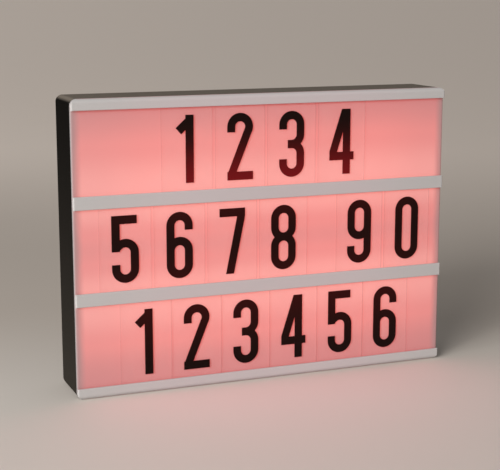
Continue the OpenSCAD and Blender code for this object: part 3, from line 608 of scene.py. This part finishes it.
def floor_pale():
    """Pale warm floor with painted light and shade: lightest ahead of the box and far behind it, painted
    shade just behind and beside it, and a painted falloff of the light that makes it a little darker far
    right.
    """
    backwards = (0.371, 0.929, 0.0)
    rightwards = (0.929, -0.371, 0.0)
    # Painted light and shade: these floor tones stand in for how the lights fall on the floor, not for the
    # floor's own colour.
    lit_ahead_of_box = (0.665, 0.62, 0.575, 1.0)
    shaded_near_box = (0.52, 0.466, 0.417, 1.0)
    lit_far_left = (0.87, 0.78, 0.705, 1.0)
    less_lit_far_right = (0.75, 0.67, 0.605, 1.0)

    def build(wires):
        def along(direction):
            return wires.node("ShaderNodeVectorMath", {0: wires.place(), 1: direction},
                              operation="DOT_PRODUCT").outputs["Value"]

        back = along(backwards)
        right = wires.math("DIVIDE", along(rightwards), wires.plus(back, 1.0))
        far = wires.mix(wires.spread(right, -0.2, 0.2), lit_far_left, less_lit_far_right)
        near = wires.mix(wires.spread(back, -0.1, 0.22, smooth=True), lit_ahead_of_box, shaded_near_box)
        shade = wires.mix(wires.spread(back, 0.38, 1.5, smooth=True), near, far)
        surface, _ = grain_over(wires, shade, roughness=0.7, scale=60.0, spread=0.02)
        return surface

    return new_material("floor_pale", {"Specular IOR Level": 0.25}, build)


# Colour, roughness, scale of the grain and spread of tone.
PLASTICS = {
    "reflector_white": ("ecebe8", 0.55, 1200.0, 0.1),
    "component_black": ("1e1f22", 0.5, 2400.0, 0.4),
    "socket_cream": ("e2dbc8", 0.45, 1800.0, 0.15),
    "knob_black": ("141415", 0.4, 2200.0, 0.4),
    "button_grey": ("c9c6c0", 0.38, 2000.0, 0.12),
    "phosphor": ("f0d060", 0.4, 3000.0, 0.3),
    "mark_white": ("d8d6d0", 0.5, 2000.0, 0.15),
}

# Colour, roughness and scale of the grain.
METALS = {
    "switch_steel": ("a9a9a6", 0.36, 2500.0),
    "screw_steel": ("b3b3b5", 0.28, 3200.0),
    "contact_nickel": ("cfcbc0", 0.24, 2500.0),
    "cell_can": ("c4c3bf", 0.3, 1800.0),
    "solder": ("b9bcc0", 0.22, 4000.0),
}

# Colour of the lacquer, colour of the track and scale of its pattern.
BOARDS = {
    "board_white": ("e8e7e0", "d6d4c8", 260.0),
    "board_green": ("14492f", "2b7350", 420.0),
}

OTHERS = {
    "case_black": case_black,
    "panel_opal": panel_opal,
    "rail_white": rail_white,
    "tile_clear": tile_clear,
    "numeral_ink": numeral_ink,
    "lamp_resin": lamp_resin,
    "lead_sheath": lead_sheath,
    "cell_wrap": cell_wrap,
    "floor_pale": floor_pale,
}


def finish(name):
    """The material of that name."""
    if name in PLASTICS:
        colour, roughness, grain, spread = PLASTICS[name]
        return plastic(name, tone(colour), roughness, grain, spread)
    if name in METALS:
        colour, roughness, grain = METALS[name]
        return metal(name, tone(colour), roughness, grain)
    if name in BOARDS:
        lacquer, track_colour, scale = BOARDS[name]
        return board_finish(name, tone(lacquer), tone(track_colour), scale)
    return OTHERS[name]()


def dress(finish_name, *names):
    """Gives carried-over CAD nodes their material."""
    made = finish(finish_name)
    for name in names:
        node = NODES[name]
        if not node.material_slots:
            node.data.materials.append(made)
        for slot in node.material_slots:
            slot.material = made


# ---- helpers for pieces ----


def mesh_from(bm, name):
    """Ends work on a bmesh and returns it as a mesh."""
    mesh = bpy.data.meshes.new(name)
    bm.to_mesh(mesh)
    bm.free()
    return mesh


def add_piece(name, mesh, body, finish_name, smooth_angle=None):
    """Makes a mesh a piece of the model, with its faces outwards, and flat unless an angle is given."""
    bm = bmesh.new()
    bm.from_mesh(mesh)
    bmesh.ops.remove_doubles(bm, verts=bm.verts, dist=1e-8)
    bmesh.ops.recalc_face_normals(bm, faces=bm.faces)
    bm.to_mesh(mesh)
    bm.free()
    mesh.materials.clear()
    mesh.materials.append(finish(finish_name))
    if smooth_angle:
        mesh.shade_smooth()
        mesh.set_sharp_from_angle(angle=math.radians(smooth_angle))
    else:
        mesh.shade_flat()
    made = bpy.data.objects.new(name, mesh)
    bpy.context.scene.collection.objects.link(made)
    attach(made, body)
    return made


def geometry_tree(name, inputs, build):
    """A Geometry Nodes tree with named inputs, which ends in Realize Instances and Set Material."""
    tree = bpy.data.node_groups.get(name)
    if tree:
        return tree
    tree = bpy.data.node_groups.new(name, "GeometryNodeTree")
    tree.interface.new_socket("Geometry", in_out="INPUT", socket_type="NodeSocketGeometry")
    for label, kind in inputs:
        tree.interface.new_socket(label, in_out="INPUT", socket_type=kind)
    tree.interface.new_socket("Material", in_out="INPUT", socket_type="NodeSocketMaterial")
    tree.interface.new_socket("Geometry", in_out="OUTPUT", socket_type="NodeSocketGeometry")
    wires = Wires(tree)
    start = wires.node("NodeGroupInput").outputs
    built = build(wires, start)
    real = wires.node("GeometryNodeRealizeInstances", {0: built})
    dressed = wires.node("GeometryNodeSetMaterial", {
        "Geometry": real.outputs[0], "Material": start["Material"]})
    wires.node("NodeGroupOutput", {0: dressed.outputs[0]})
    return tree


def grow(name, tree, values, finish_name, base=None):
    """Runs a tree on a base mesh and returns its result as a plain mesh."""
    source = bpy.data.objects.new(name, base or bpy.data.meshes.new(name))
    bpy.context.scene.collection.objects.link(source)
    modifier = source.modifiers.new(name, "NODES")
    modifier.node_group = tree
    values = dict(values, Material=finish(finish_name))
    for item in tree.interface.items_tree:
        if item.item_type == "SOCKET" and item.in_out == "INPUT" and item.name in values:
            modifier[item.identifier] = values[item.name]
    evaluated = source.evaluated_get(bpy.context.evaluated_depsgraph_get())
    mesh = bpy.data.meshes.new_from_object(evaluated)
    bpy.data.objects.remove(source)
    if not mesh.polygons:
        raise RuntimeError(f"the tree {tree.name} gave no faces for {name}")
    return mesh


def row_tree(shape):
    """A tree that repeats one small block or dome along a straight line."""

    def build(wires, start):
        points = wires.node("GeometryNodeMeshLine", {
            "Count": start["Count"], "Start Location": start["Start"], "Offset": start["Step"]})
        if shape == "block":
            solid = wires.node("GeometryNodeMeshCube", {"Size": (1.0, 1.0, 1.0)})
        else:
            solid = wires.node("GeometryNodeMeshUVSphere", {"Segments": 16, "Rings": 8, "Radius": 0.5})
        placed = wires.node("GeometryNodeInstanceOnPoints", {
            "Points": points.outputs[0], "Instance": solid.outputs[0], "Scale": start["Size"]})
        return placed.outputs[0]

    return geometry_tree(
        "row_of_" + shape + "s",
        [("Count", "NodeSocketInt"), ("Start", "NodeSocketVector"), ("Step", "NodeSocketVector"),
         ("Size", "NodeSocketVector")], build)


def add_row(name, shape, count, start, step, size, finish_name, smooth_angle=40):
    """A row of small like parts on the box: start is in metres, step and size are in millimetres."""
    mesh = grow(name, row_tree(shape), {
        "Count": count, "Start": start, "Step": Vector(step) * MM, "Size": Vector(size) * MM}, finish_name)
    return add_piece(name, mesh, "box", finish_name, smooth_angle)


def spun_mesh(name, section, axis, steps):
    """A closed section of points, turned once round an axis through the origin."""
    bm = bmesh.new()
    points = [bm.verts.new(point) for point in section]
    edges = [bm.edges.new(pair) for pair in zip(points, points[1:] + points[:1])]
    bmesh.ops.spin(bm, geom=points + edges, cent=(0, 0, 0), axis=axis, angle=math.tau, steps=steps)
    bmesh.ops.remove_doubles(bm, verts=bm.verts, dist=1e-7)
    return mesh_from(bm, name)


def ring_mesh(name, radius, half_width, half_thickness):
    """A flat ring in the XZ plane, round the origin."""
    inner = radius - half_width
    outer = radius + half_width
    section = [(inner, -half_thickness, 0.0), (outer, -half_thickness, 0.0),
               (outer, half_thickness, 0.0), (inner, half_thickness, 0.0)]
    return spun_mesh(name, section, (0, 1, 0), 32)


# ---- numerals ----


ARC_STEP = 11  # degrees between two points on an arc of a numeral
ARC_LEAST = 4  # steps in the shortest arc


def arc(x, z, radius, start, end):
    """Points on an arc, from one angle in degrees to another."""
    count = max(ARC_LEAST, round(abs(end - start) / ARC_STEP))
    turns = [math.radians(start + (end - start) * i / count) for i in range(count + 1)]
    return [(x + radius * math.cos(t), z + radius * math.sin(t)) for t in turns]


def ring(high, low, radius):
    """Points round a tall ring, between the middles of its two arcs, back to the first one."""
    return arc(0, high, radius, 0, 180) + arc(0, low, radius, 180, 360) + [(radius, high)]


def numeral_strokes(numeral, w, h, s):
    """Middle lines of a condensed numeral's strokes, w wide, h high and s thick.

    A stroke that ends where it starts is a ring. One that runs past the numeral's block is cut off there.
    """
    r = w / 2 - s / 2
    low = s / 2 + r
    high = h - low
    bar = h - s / 2
    half = h / 2
    waist = 0.42 * h
    hook = arc(0, high, r, 180, 0) + [(r, high - 0.07 * h)]
    six = [ring(waist, low, r), [(-r, low)] + hook]
    strokes = {
        "0": [ring(high, low, r)],
        "1": [[(0.1 * w, -s), (0.1 * w, h + s)], [(-0.32 * w, 0.765 * h), (0.1 * w, 0.919 * h)]],
        "2": [[(-r, high - 0.08 * h)] + arc(0, high, r, 180, -32)
              + [(-0.345 * w, 0.08 * h), (-0.35 * w, -s)],
              [(-w, s / 2), (w, s / 2)]],
        "3": [[(-r, high - 0.07 * h)] + arc(0, high, r, 180, 0) + arc(0, half + r, r, 0, -90)
              + [(-0.16 * w, half)],
              [(-0.16 * w, half)] + arc(0, half - r, r, 90, 0) + arc(0, low, r, 0, -180)
              + [(-r, low + 0.07 * h)]],
        "4": [[(0.2 * w, -s), (0.2 * w, h + s)], [(-w, 0.28 * h), (w, 0.28 * h)],
              [(0.17 * w, h + 0.1 * s), (-0.4 * w, 0.28 * h)]],
        "5": [[(-r, h + s), (-r, 0.53 * h - s / 2)], [(-r - s / 2, bar), (0.44 * w, bar)],
              [(-r, 0.53 * h)] + arc(0, waist + 0.03 * h, r, 140, 0) + arc(0, low, r, 0, -180)
              + [(-r, low + 0.07 * h)]],
        "6": six,
        "7": [[(-w, bar), (w, bar)], [(0.36 * w, h - 0.2 * s), (0.33 * w, 0.85 * h), (-0.16 * w, -s)]],
        "8": [ring(high, half + r + 0.01 * h, r), ring(half - r + 0.01 * h, low, r)],
        "9": [[(-x, h - z) for x, z in stroke] for stroke in six],
    }
    return strokes[numeral]


def stroke_lines(name, strokes):
    """The middle lines as a mesh of edges in millimetres, in the XY plane."""
    same_point = 1e-6
    bm = bmesh.new()
    for stroke in strokes:
        closed = math.dist(stroke[0], stroke[-1]) < same_point
        line = stroke[:-1] if closed else stroke
        kept = [p for i, p in enumerate(line) if i == 0 or math.dist(p, line[i - 1]) > same_point]
        points = [bm.verts.new((x, z, 0.0)) for x, z in kept]
        for a, b in zip(points, points[1:] + points[:1] if closed else points[1:]):
            bm.edges.new((a, b))
    return mesh_from(bm, name)


def several_meshes(boolean):
    """The socket of a mesh Boolean that takes several meshes. Its label depends on the operation."""
    return [socket for socket in boolean.inputs if socket.enabled and socket.type == "GEOMETRY"][-1]


def numeral_tree():
    """Sweeps a flat stroke along the lines, joins the strokes and trims them to the numeral's block."""

    def build(wires, start):
        block_depth = 4.0
        curve = wires.node("GeometryNodeMeshToCurve", {0: start["Geometry"]})
        profile = wires.node("GeometryNodeCurvePrimitiveQuadrilateral", {
            "Width": start["Stroke"], "Height": start["Film"]})
        ribbon = wires.node("GeometryNodeCurveToMesh", {
            "Curve": curve.outputs[0], "Profile Curve": profile.outputs[0], "Fill Caps": True})
        joined = wires.node("GeometryNodeMeshBoolean", {"Self Intersection": True}, operation="UNION",
                            solver="EXACT")
        wires.tree.links.new(ribbon.outputs[0], several_meshes(joined))
        size = wires.node("ShaderNodeCombineXYZ", {0: start["Width"], 1: start["Height"], 2: block_depth})
        block = wires.node("GeometryNodeMeshCube", {"Size": size.outputs[0]})
        lift = wires.node("ShaderNodeCombineXYZ", {
            0: 0.0, 1: wires.times(start["Height"], 0.5), 2: 0.0})
        raised = wires.node("GeometryNodeTransform", {
            "Geometry": block.outputs[0], "Translation": lift.outputs[0]})
        trimmed = wires.node("GeometryNodeMeshBoolean", operation="INTERSECT", solver="EXACT")
        wires.tree.links.new(joined.outputs[0], several_meshes(trimmed))
        wires.tree.links.new(raised.outputs[0], several_meshes(trimmed))
        return trimmed.outputs[0]

    return geometry_tree(
        "numeral_film",
        [("Stroke", "NodeSocketFloat"), ("Film", "NodeSocketFloat"), ("Width", "NodeSocketFloat"),
         ("Height", "NodeSocketFloat")], build)


def add_numeral(tile, numeral):
    """Prints one numeral on the front of a tile, on its middle."""
    sunk = 0.000005
    sizes = bpy.context.scene.light_box_numerals
    w, h, s = sizes.width / MM, sizes.height / MM, sizes.stroke / MM
    name = "numeral_on_" + tile
    lines = stroke_lines(name + "_lines", numeral_strokes(numeral, w, h, s))
    values = {"Stroke": s, "Film": 1.0, "Width": w, "Height": h}
    mesh = grow(name, numeral_tree(), values, "numeral_ink", lines)
    low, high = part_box(tile)
    front = low.y - sizes.film / 2 + sunk
    corner = Vector(((low.x + high.x) / 2, front, (low.z + high.z - sizes.height) / 2))
    upright = Matrix.Rotation(math.radians(90), 4, "X")
    thin = Matrix.Diagonal((MM, MM, sizes.film, 1.0))
    mesh.transform(Matrix.Translation(corner) @ upright @ thin)
    mesh.name = name
    return add_piece(name, mesh, tile, "numeral_ink")


# ---- pieces ----


class LIGHTBOX_OT_case(bpy.types.Operator):
    """Finish the case and its screws"""

    bl_idname = "lightbox.case"
    bl_label = "Case"

    def execute(self, context):
        dress("case_black", "rear_case")
        dress("screw_steel", "case_screws", "board_screws")
        return {"FINISHED"}


class LIGHTBOX_OT_front(bpy.types.Operator):
    """Light the opal panel and finish the rails in front of it"""

    bl_idname = "lightbox.front"
    bl_label = "Glowing Panel and Rails"

    def execute(self, context):
        dress("panel_opal", "front_panel")
        dress("rail_white", "rail_top", "rail_upper", "rail_lower", "rail_bottom")
        return {"FINISHED"}


class LIGHTBOX_OT_tiles(bpy.types.Operator):
    """Finish the clear tiles and print a numeral on each"""

    bl_idname = "lightbox.tiles"
    bl_label = "Tiles and Numerals"

    def execute(self, context):
        for row, numerals in ROWS.items():
            for i, numeral in enumerate(numerals):
                tile = f"tile_{row}_{i + 1}"
                dress("tile_clear", tile)
                add_numeral(tile, numeral)
        return {"FINISHED"}


class LIGHTBOX_OT_lamps(bpy.types.Operator):
    """Finish the reflector and the lamp strips, and add the strips' phosphor, solder and track"""

    bl_idname = "lightbox.lamps"
    bl_label = "Lamp Strips"

    def execute(self, context):
        dress("reflector_white", "reflector_sheet")
        dress("board_white", "lamp_board_upper", "lamp_board_lower")
        dress("lamp_resin", "lamps_upper", "lamps_lower")
        step = (LAMP_PITCH / MM, 0, 0)
        for level in ("upper", "lower"):
            low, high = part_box("lamps_" + level)
            z = (low.z + high.z) / 2
            first = low.x + LAMP_WIDTH / 2
            between = first + LAMP_PITCH / 2
            board_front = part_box("lamp_board_" + level)[0].y
            add_row("lamp_domes_" + level, "dome", LAMP_COUNT, (first, low.y, z), step, (3.6, 0.5, 3.6),
                    "phosphor")
            for side, shift in (("left", -2.9), ("right", 2.9)):
                add_row(f"lamp_feet_{level}_{side}", "block", LAMP_COUNT,
                        (first + shift * MM, board_front, z), step, (1.1, 0.3, 3.4),
                        "solder")
            add_row("lamp_tracks_" + level, "block", LAMP_COUNT - 1, (between, board_front, z), step,
                    (19.5, 0.08, 1.4), "contact_nickel")
        return {"FINISHED"}


class LIGHTBOX_OT_controls(bpy.types.Operator):
    """Finish the board, switch, button, inlet and leads, and add the switch marks and small parts"""

    bl_idname = "lightbox.controls"
    bl_label = "Controls"

    def execute(self, context):
        dress("board_green", "control_board")
        dress("component_black", "driver_chip", "smoothing_capacitor", "colour_switch_body", "power_inlet")
        dress("socket_cream", "lead_sockets")
        dress("switch_steel", "power_switch_body")
        dress("knob_black", "power_switch_knob")
        dress("button_grey", "colour_button")
        dress("contact_nickel", "power_inlet_pin")
        dress("lead_sheath", "battery_leads", "lamp_leads")
        self.add_switch_marks()
        self.add_board_parts()
        return {"FINISHED"}

    def add_switch_marks(self):
        """A raised bar for on and a raised ring for off, on the dish's floor above the knob's two ends."""
        dish_depth = 0.0016
        above_knob = 0.0047
        on_side = 0.001
        off_side = -0.004
        middle = middle_of("power_switch_knob")
        floor = HALF_DEPTH - dish_depth
        height = middle.z + above_knob
        bm = bmesh.new()
        bar = bmesh.ops.create_cube(bm, size=1.0)["verts"]
        bar_size = Matrix.Diagonal((0.0006, 0.0005, 0.0026, 1.0))
        bar_place = Matrix.Translation((middle.x + on_side, floor, height))
        bmesh.ops.transform(bm, matrix=bar_place @ bar_size, verts=bar)
        add_piece("switch_mark_on", mesh_from(bm, "switch_mark_on"), "box", "mark_white")
        ring = ring_mesh("switch_mark_off", radius=0.001, half_width=0.0003, half_thickness=0.00025)
        ring.transform(Matrix.Translation((middle.x + off_side, floor, height)))
        add_piece("switch_mark_off", ring, "box", "mark_white", 40)

    def add_board_parts(self):
        """Small parts and solder on the board's front, clear of the sockets, chip and capacitor."""
        middle = middle_of("control_board")
        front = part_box("control_board")[0].y

        def on_board(right, ahead, up):
            """A place in millimetres from the middle of the board's front."""
            return (middle.x + right * MM, front - ahead * MM, middle.z + up * MM)

        add_row("board_resistors", "block", 4, on_board(-16, 0.2, -10.5), (4.2, 0, 0), (2.0, 0.6, 1.2),
                "component_black")
        add_row("board_ceramics", "block", 3, on_board(-1.5, 0.3, -6), (0, 0, 3.2), (2.2, 0.9, 1.3),
                "socket_cream")
        add_row("switch_solder", "dome", 3, on_board(-11.5, 0, 3), (2.5, 0, 0), (1.5, 1.0, 1.5),
                "solder")
        add_row("inlet_solder", "dome", 3, on_board(14, 0, 10.5), (3.6, 0, 0), (1.9, 1.1, 1.9),
                "solder")


class LIGHTBOX_OT_batteries(bpy.types.Operator):
    """Finish the battery door, contacts and cells, and wrap the cells"""

    bl_idname = "lightbox.batteries"
    bl_label = "Battery Bay"

    def execute(self, context):
        dress("case_black", "battery_door")
        dress("contact_nickel", "contact_plates", "contact_springs")
        for i in range(1, CELL_COUNT + 1):
            cell = f"battery_cell_{i}"
            dress("cell_can", cell)
            # The second of each three cells lies the other way round.
            self.wrap_cell(cell, -1 if i % 3 == 2 else 1)
        return {"FINISHED"}

    def wrap_cell(self, cell, button_side):
        """A shrink wrap with turned-in ends. It is drawn from the button's end, then laid on the cell.

        Its radii are measured from the can's: skin lies on it, and lip is where an end turns in to.
        """
        low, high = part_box(cell)
        length = high.x - low.x
        can = (high.z - low.z) / 2
        skin = can + 0.00006
        shoulder = can - 0.00015
        inside = can - 0.0003
        corner = can - 0.0006
        lip = can - 0.0018
        button_end = [(0.00095, lip), (0.00095, corner), (0.00115, shoulder), (0.0016, skin)]
        flat_end = [(length - 0.0006, skin), (length - 0.00012, shoulder), (length + 0.00005, corner),
                    (length + 0.00005, lip)]
        way_back = [(length - 0.0002, lip), (length - 0.0006, inside), (0.0016, inside), (0.0012, lip)]
        section = [(x, 0.0, r) for x, r in button_end + flat_end + way_back]
        mesh = spun_mesh("wrap_of_" + cell, section, (1, 0, 0), 48)
        share = mesh.attributes.new("along", "FLOAT", "POINT")
        share.data.foreach_set("value", [v.co.x / length for v in mesh.vertices])
        middle = (low + high) / 2
        tip = Vector((high.x if button_side == 1 else low.x, middle.y, middle.z))
        mesh.transform(Matrix.Translation(tip) @ Matrix.Diagonal((-button_side, 1.0, 1.0, 1.0)))
        add_piece("wrap_of_" + cell, mesh, "box", "cell_wrap", 40)


# ---- stage ----


KEY_DIRECTION = (0.70, 0.57, -0.29)
KEY_COLOUR = (1.0, 0.965, 0.93)
SIDE_LIGHT_PLACE = (-1.4, -0.6, 0.75)
SIDE_LIGHT_TARGET = (0.0, 0.0, 0.08)
SIDE_LIGHT_SIZE = (0.9, 0.9)
SIDE_LIGHT_COLOUR = (1.0, 0.98, 0.95)
SPILL_COLOUR = (1.0, 0.33, 0.5)
ROOM_COLOUR = (1.0, 0.97, 0.94, 1.0)

# The photograph's view, worked out from the edges of the box in it.
CAMERA_PLACE = (-0.3666, -0.9035, 0.2956)
CAMERA_TURN = math.radians(21.82)
CAMERA_DROP = math.radians(10.866)
CAMERA_LENS = 92.17
SENSOR_WIDTH = 36.0


class LIGHTBOX_OT_stage(bpy.types.Operator):
    """Lay the floor, hang the lights and set the camera"""

    bl_idname = "lightbox.stage"
    bl_label = "Floor, Lights and Camera"

    def execute(self, context):
        scene = context.scene
        stage = scene.light_box_stage
        self.lay_floor(scene, stage.floor_radius)
        self.hang_key(scene, stage.key_strength, stage.key_angle)
        self.hang_panel(scene, "side_light", SIDE_LIGHT_PLACE, SIDE_LIGHT_TARGET, SIDE_LIGHT_SIZE,
                        stage.side_strength, SIDE_LIGHT_COLOUR)
        self.hang_spill(scene, stage.spill_strength)
        self.fill_room(scene, stage.sky_strength)
        self.set_camera(scene)
        scene.view_settings.view_transform = "Standard"
        return {"FINISHED"}

    def lay_floor(self, scene, radius):
        """A round floor, so large that its edge lies on the horizon."""
        bm = bmesh.new()
        bmesh.ops.create_circle(bm, cap_ends=True, segments=96, radius=radius)
        mesh = mesh_from(bm, "floor")
        mesh.materials.append(finish("floor_pale"))
        ground = bpy.data.objects.new("floor", mesh)
        scene.collection.objects.link(ground)

    def hang_key(self, scene, strength, angle):
        """The soft key light, from ahead on the left and a little above."""
        sun = bpy.data.lights.new("key", "SUN")
        sun.energy = strength
        sun.angle = angle
        sun.color = KEY_COLOUR
        key = bpy.data.objects.new("key", sun)
        key.rotation_euler = Vector(KEY_DIRECTION).to_track_quat("-Z", "Y").to_euler()
        scene.collection.objects.link(key)

    def hang_spill(self, scene, strength):
        """A weak pink light just ahead of the panel, which throws its glow on the floor."""
        gap = 0.002
        side_margin = 0.02
        height_margin = 0.03
        low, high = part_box("front_panel")
        ahead = -HALF_DEPTH - gap
        size = (high.x - low.x - side_margin, high.z - height_margin)
        self.hang_panel(scene, "panel_spill", (0.0, ahead, high.z / 2), (0.0, ahead - 1.0, high.z / 2),
                        size, strength, SPILL_COLOUR)

    def fill_room(self, scene, strength):
        """Even, slightly warm light from all round."""
        world = bpy.data.worlds.new("room")
        world.use_nodes = True
        sky = world.node_tree.nodes["Background"]
        sky.inputs["Color"].default_value = ROOM_COLOUR
        sky.inputs["Strength"].default_value = strength
        scene.world = world

    def set_camera(self, scene):
        """The camera, at the photograph's place."""
        lens = bpy.data.cameras.new("camera")
        lens.lens = CAMERA_LENS
        lens.sensor_width = SENSOR_WIDTH
        lens.sensor_fit = "HORIZONTAL"
        lens.clip_end = 300.0
        camera = bpy.data.objects.new("camera", lens)
        camera.location = CAMERA_PLACE
        level = math.cos(CAMERA_DROP)
        right = math.sin(CAMERA_TURN) * level
        back = math.cos(CAMERA_TURN) * level
        look = Vector((right, back, -math.sin(CAMERA_DROP)))
        camera.rotation_euler = look.to_track_quat("-Z", "Y").to_euler()
        scene.collection.objects.link(camera)
        scene.camera = camera

    def hang_panel(self, scene, name, location, target, size, power, colour):
        """A rectangular soft light that shines from its place towards a point, unseen by the camera."""
        light = bpy.data.lights.new(name, "AREA")
        light.shape = "RECTANGLE"
        light.size, light.size_y = size
        light.energy = power
        light.color = colour
        hung = bpy.data.objects.new(name, light)
        hung.location = location
        hung.rotation_euler = (Vector(target) - Vector(location)).to_track_quat("-Z", "Y").to_euler()
        hung.visible_camera = False
        scene.collection.objects.link(hung)


class LIGHTBOX_PT_panel(bpy.types.Panel):
    """The steps that dress the light box, in order"""

    bl_idname = "LIGHTBOX_PT_panel"
    bl_label = "Light Box"
    bl_space_type = "VIEW_3D"
    bl_region_type = "UI"
    bl_category = "Light Box"

    def draw(self, context):
        scene = context.scene
        for step in STEPS:
            self.layout.operator(step.bl_idname, text=step.bl_label)
        for settings in (scene.light_box_numerals, scene.light_box_colours, scene.light_box_stage):
            column = self.layout.column(align=True)
            for name in settings.__annotations__:
                column.prop(settings, name)


STEPS = (
    LIGHTBOX_OT_case,
    LIGHTBOX_OT_front,
    LIGHTBOX_OT_tiles,
    LIGHTBOX_OT_lamps,
    LIGHTBOX_OT_controls,
    LIGHTBOX_OT_batteries,
    LIGHTBOX_OT_stage,
)
CLASSES = (LightBoxNumerals, LightBoxColours, LightBoxStage) + STEPS + (LIGHTBOX_PT_panel,)


def register():
    for cls in CLASSES:
        bpy.utils.register_class(cls)
    bpy.types.Scene.light_box_numerals = bpy.props.PointerProperty(type=LightBoxNumerals)
    bpy.types.Scene.light_box_colours = bpy.props.PointerProperty(type=LightBoxColours)
    bpy.types.Scene.light_box_stage = bpy.props.PointerProperty(type=LightBoxStage)


def unregister():
    del bpy.types.Scene.light_box_stage
    del bpy.types.Scene.light_box_colours
    del bpy.types.Scene.light_box_numerals
    for cls in reversed(CLASSES):
        bpy.utils.unregister_class(cls)


def main():
    register()
    bpy.ops.lightbox.case()
    bpy.ops.lightbox.front()
    bpy.ops.lightbox.tiles()
    bpy.ops.lightbox.lamps()
    bpy.ops.lightbox.controls()
    bpy.ops.lightbox.batteries()
    bpy.ops.lightbox.stage()


if __name__ == "__main__":
    main()
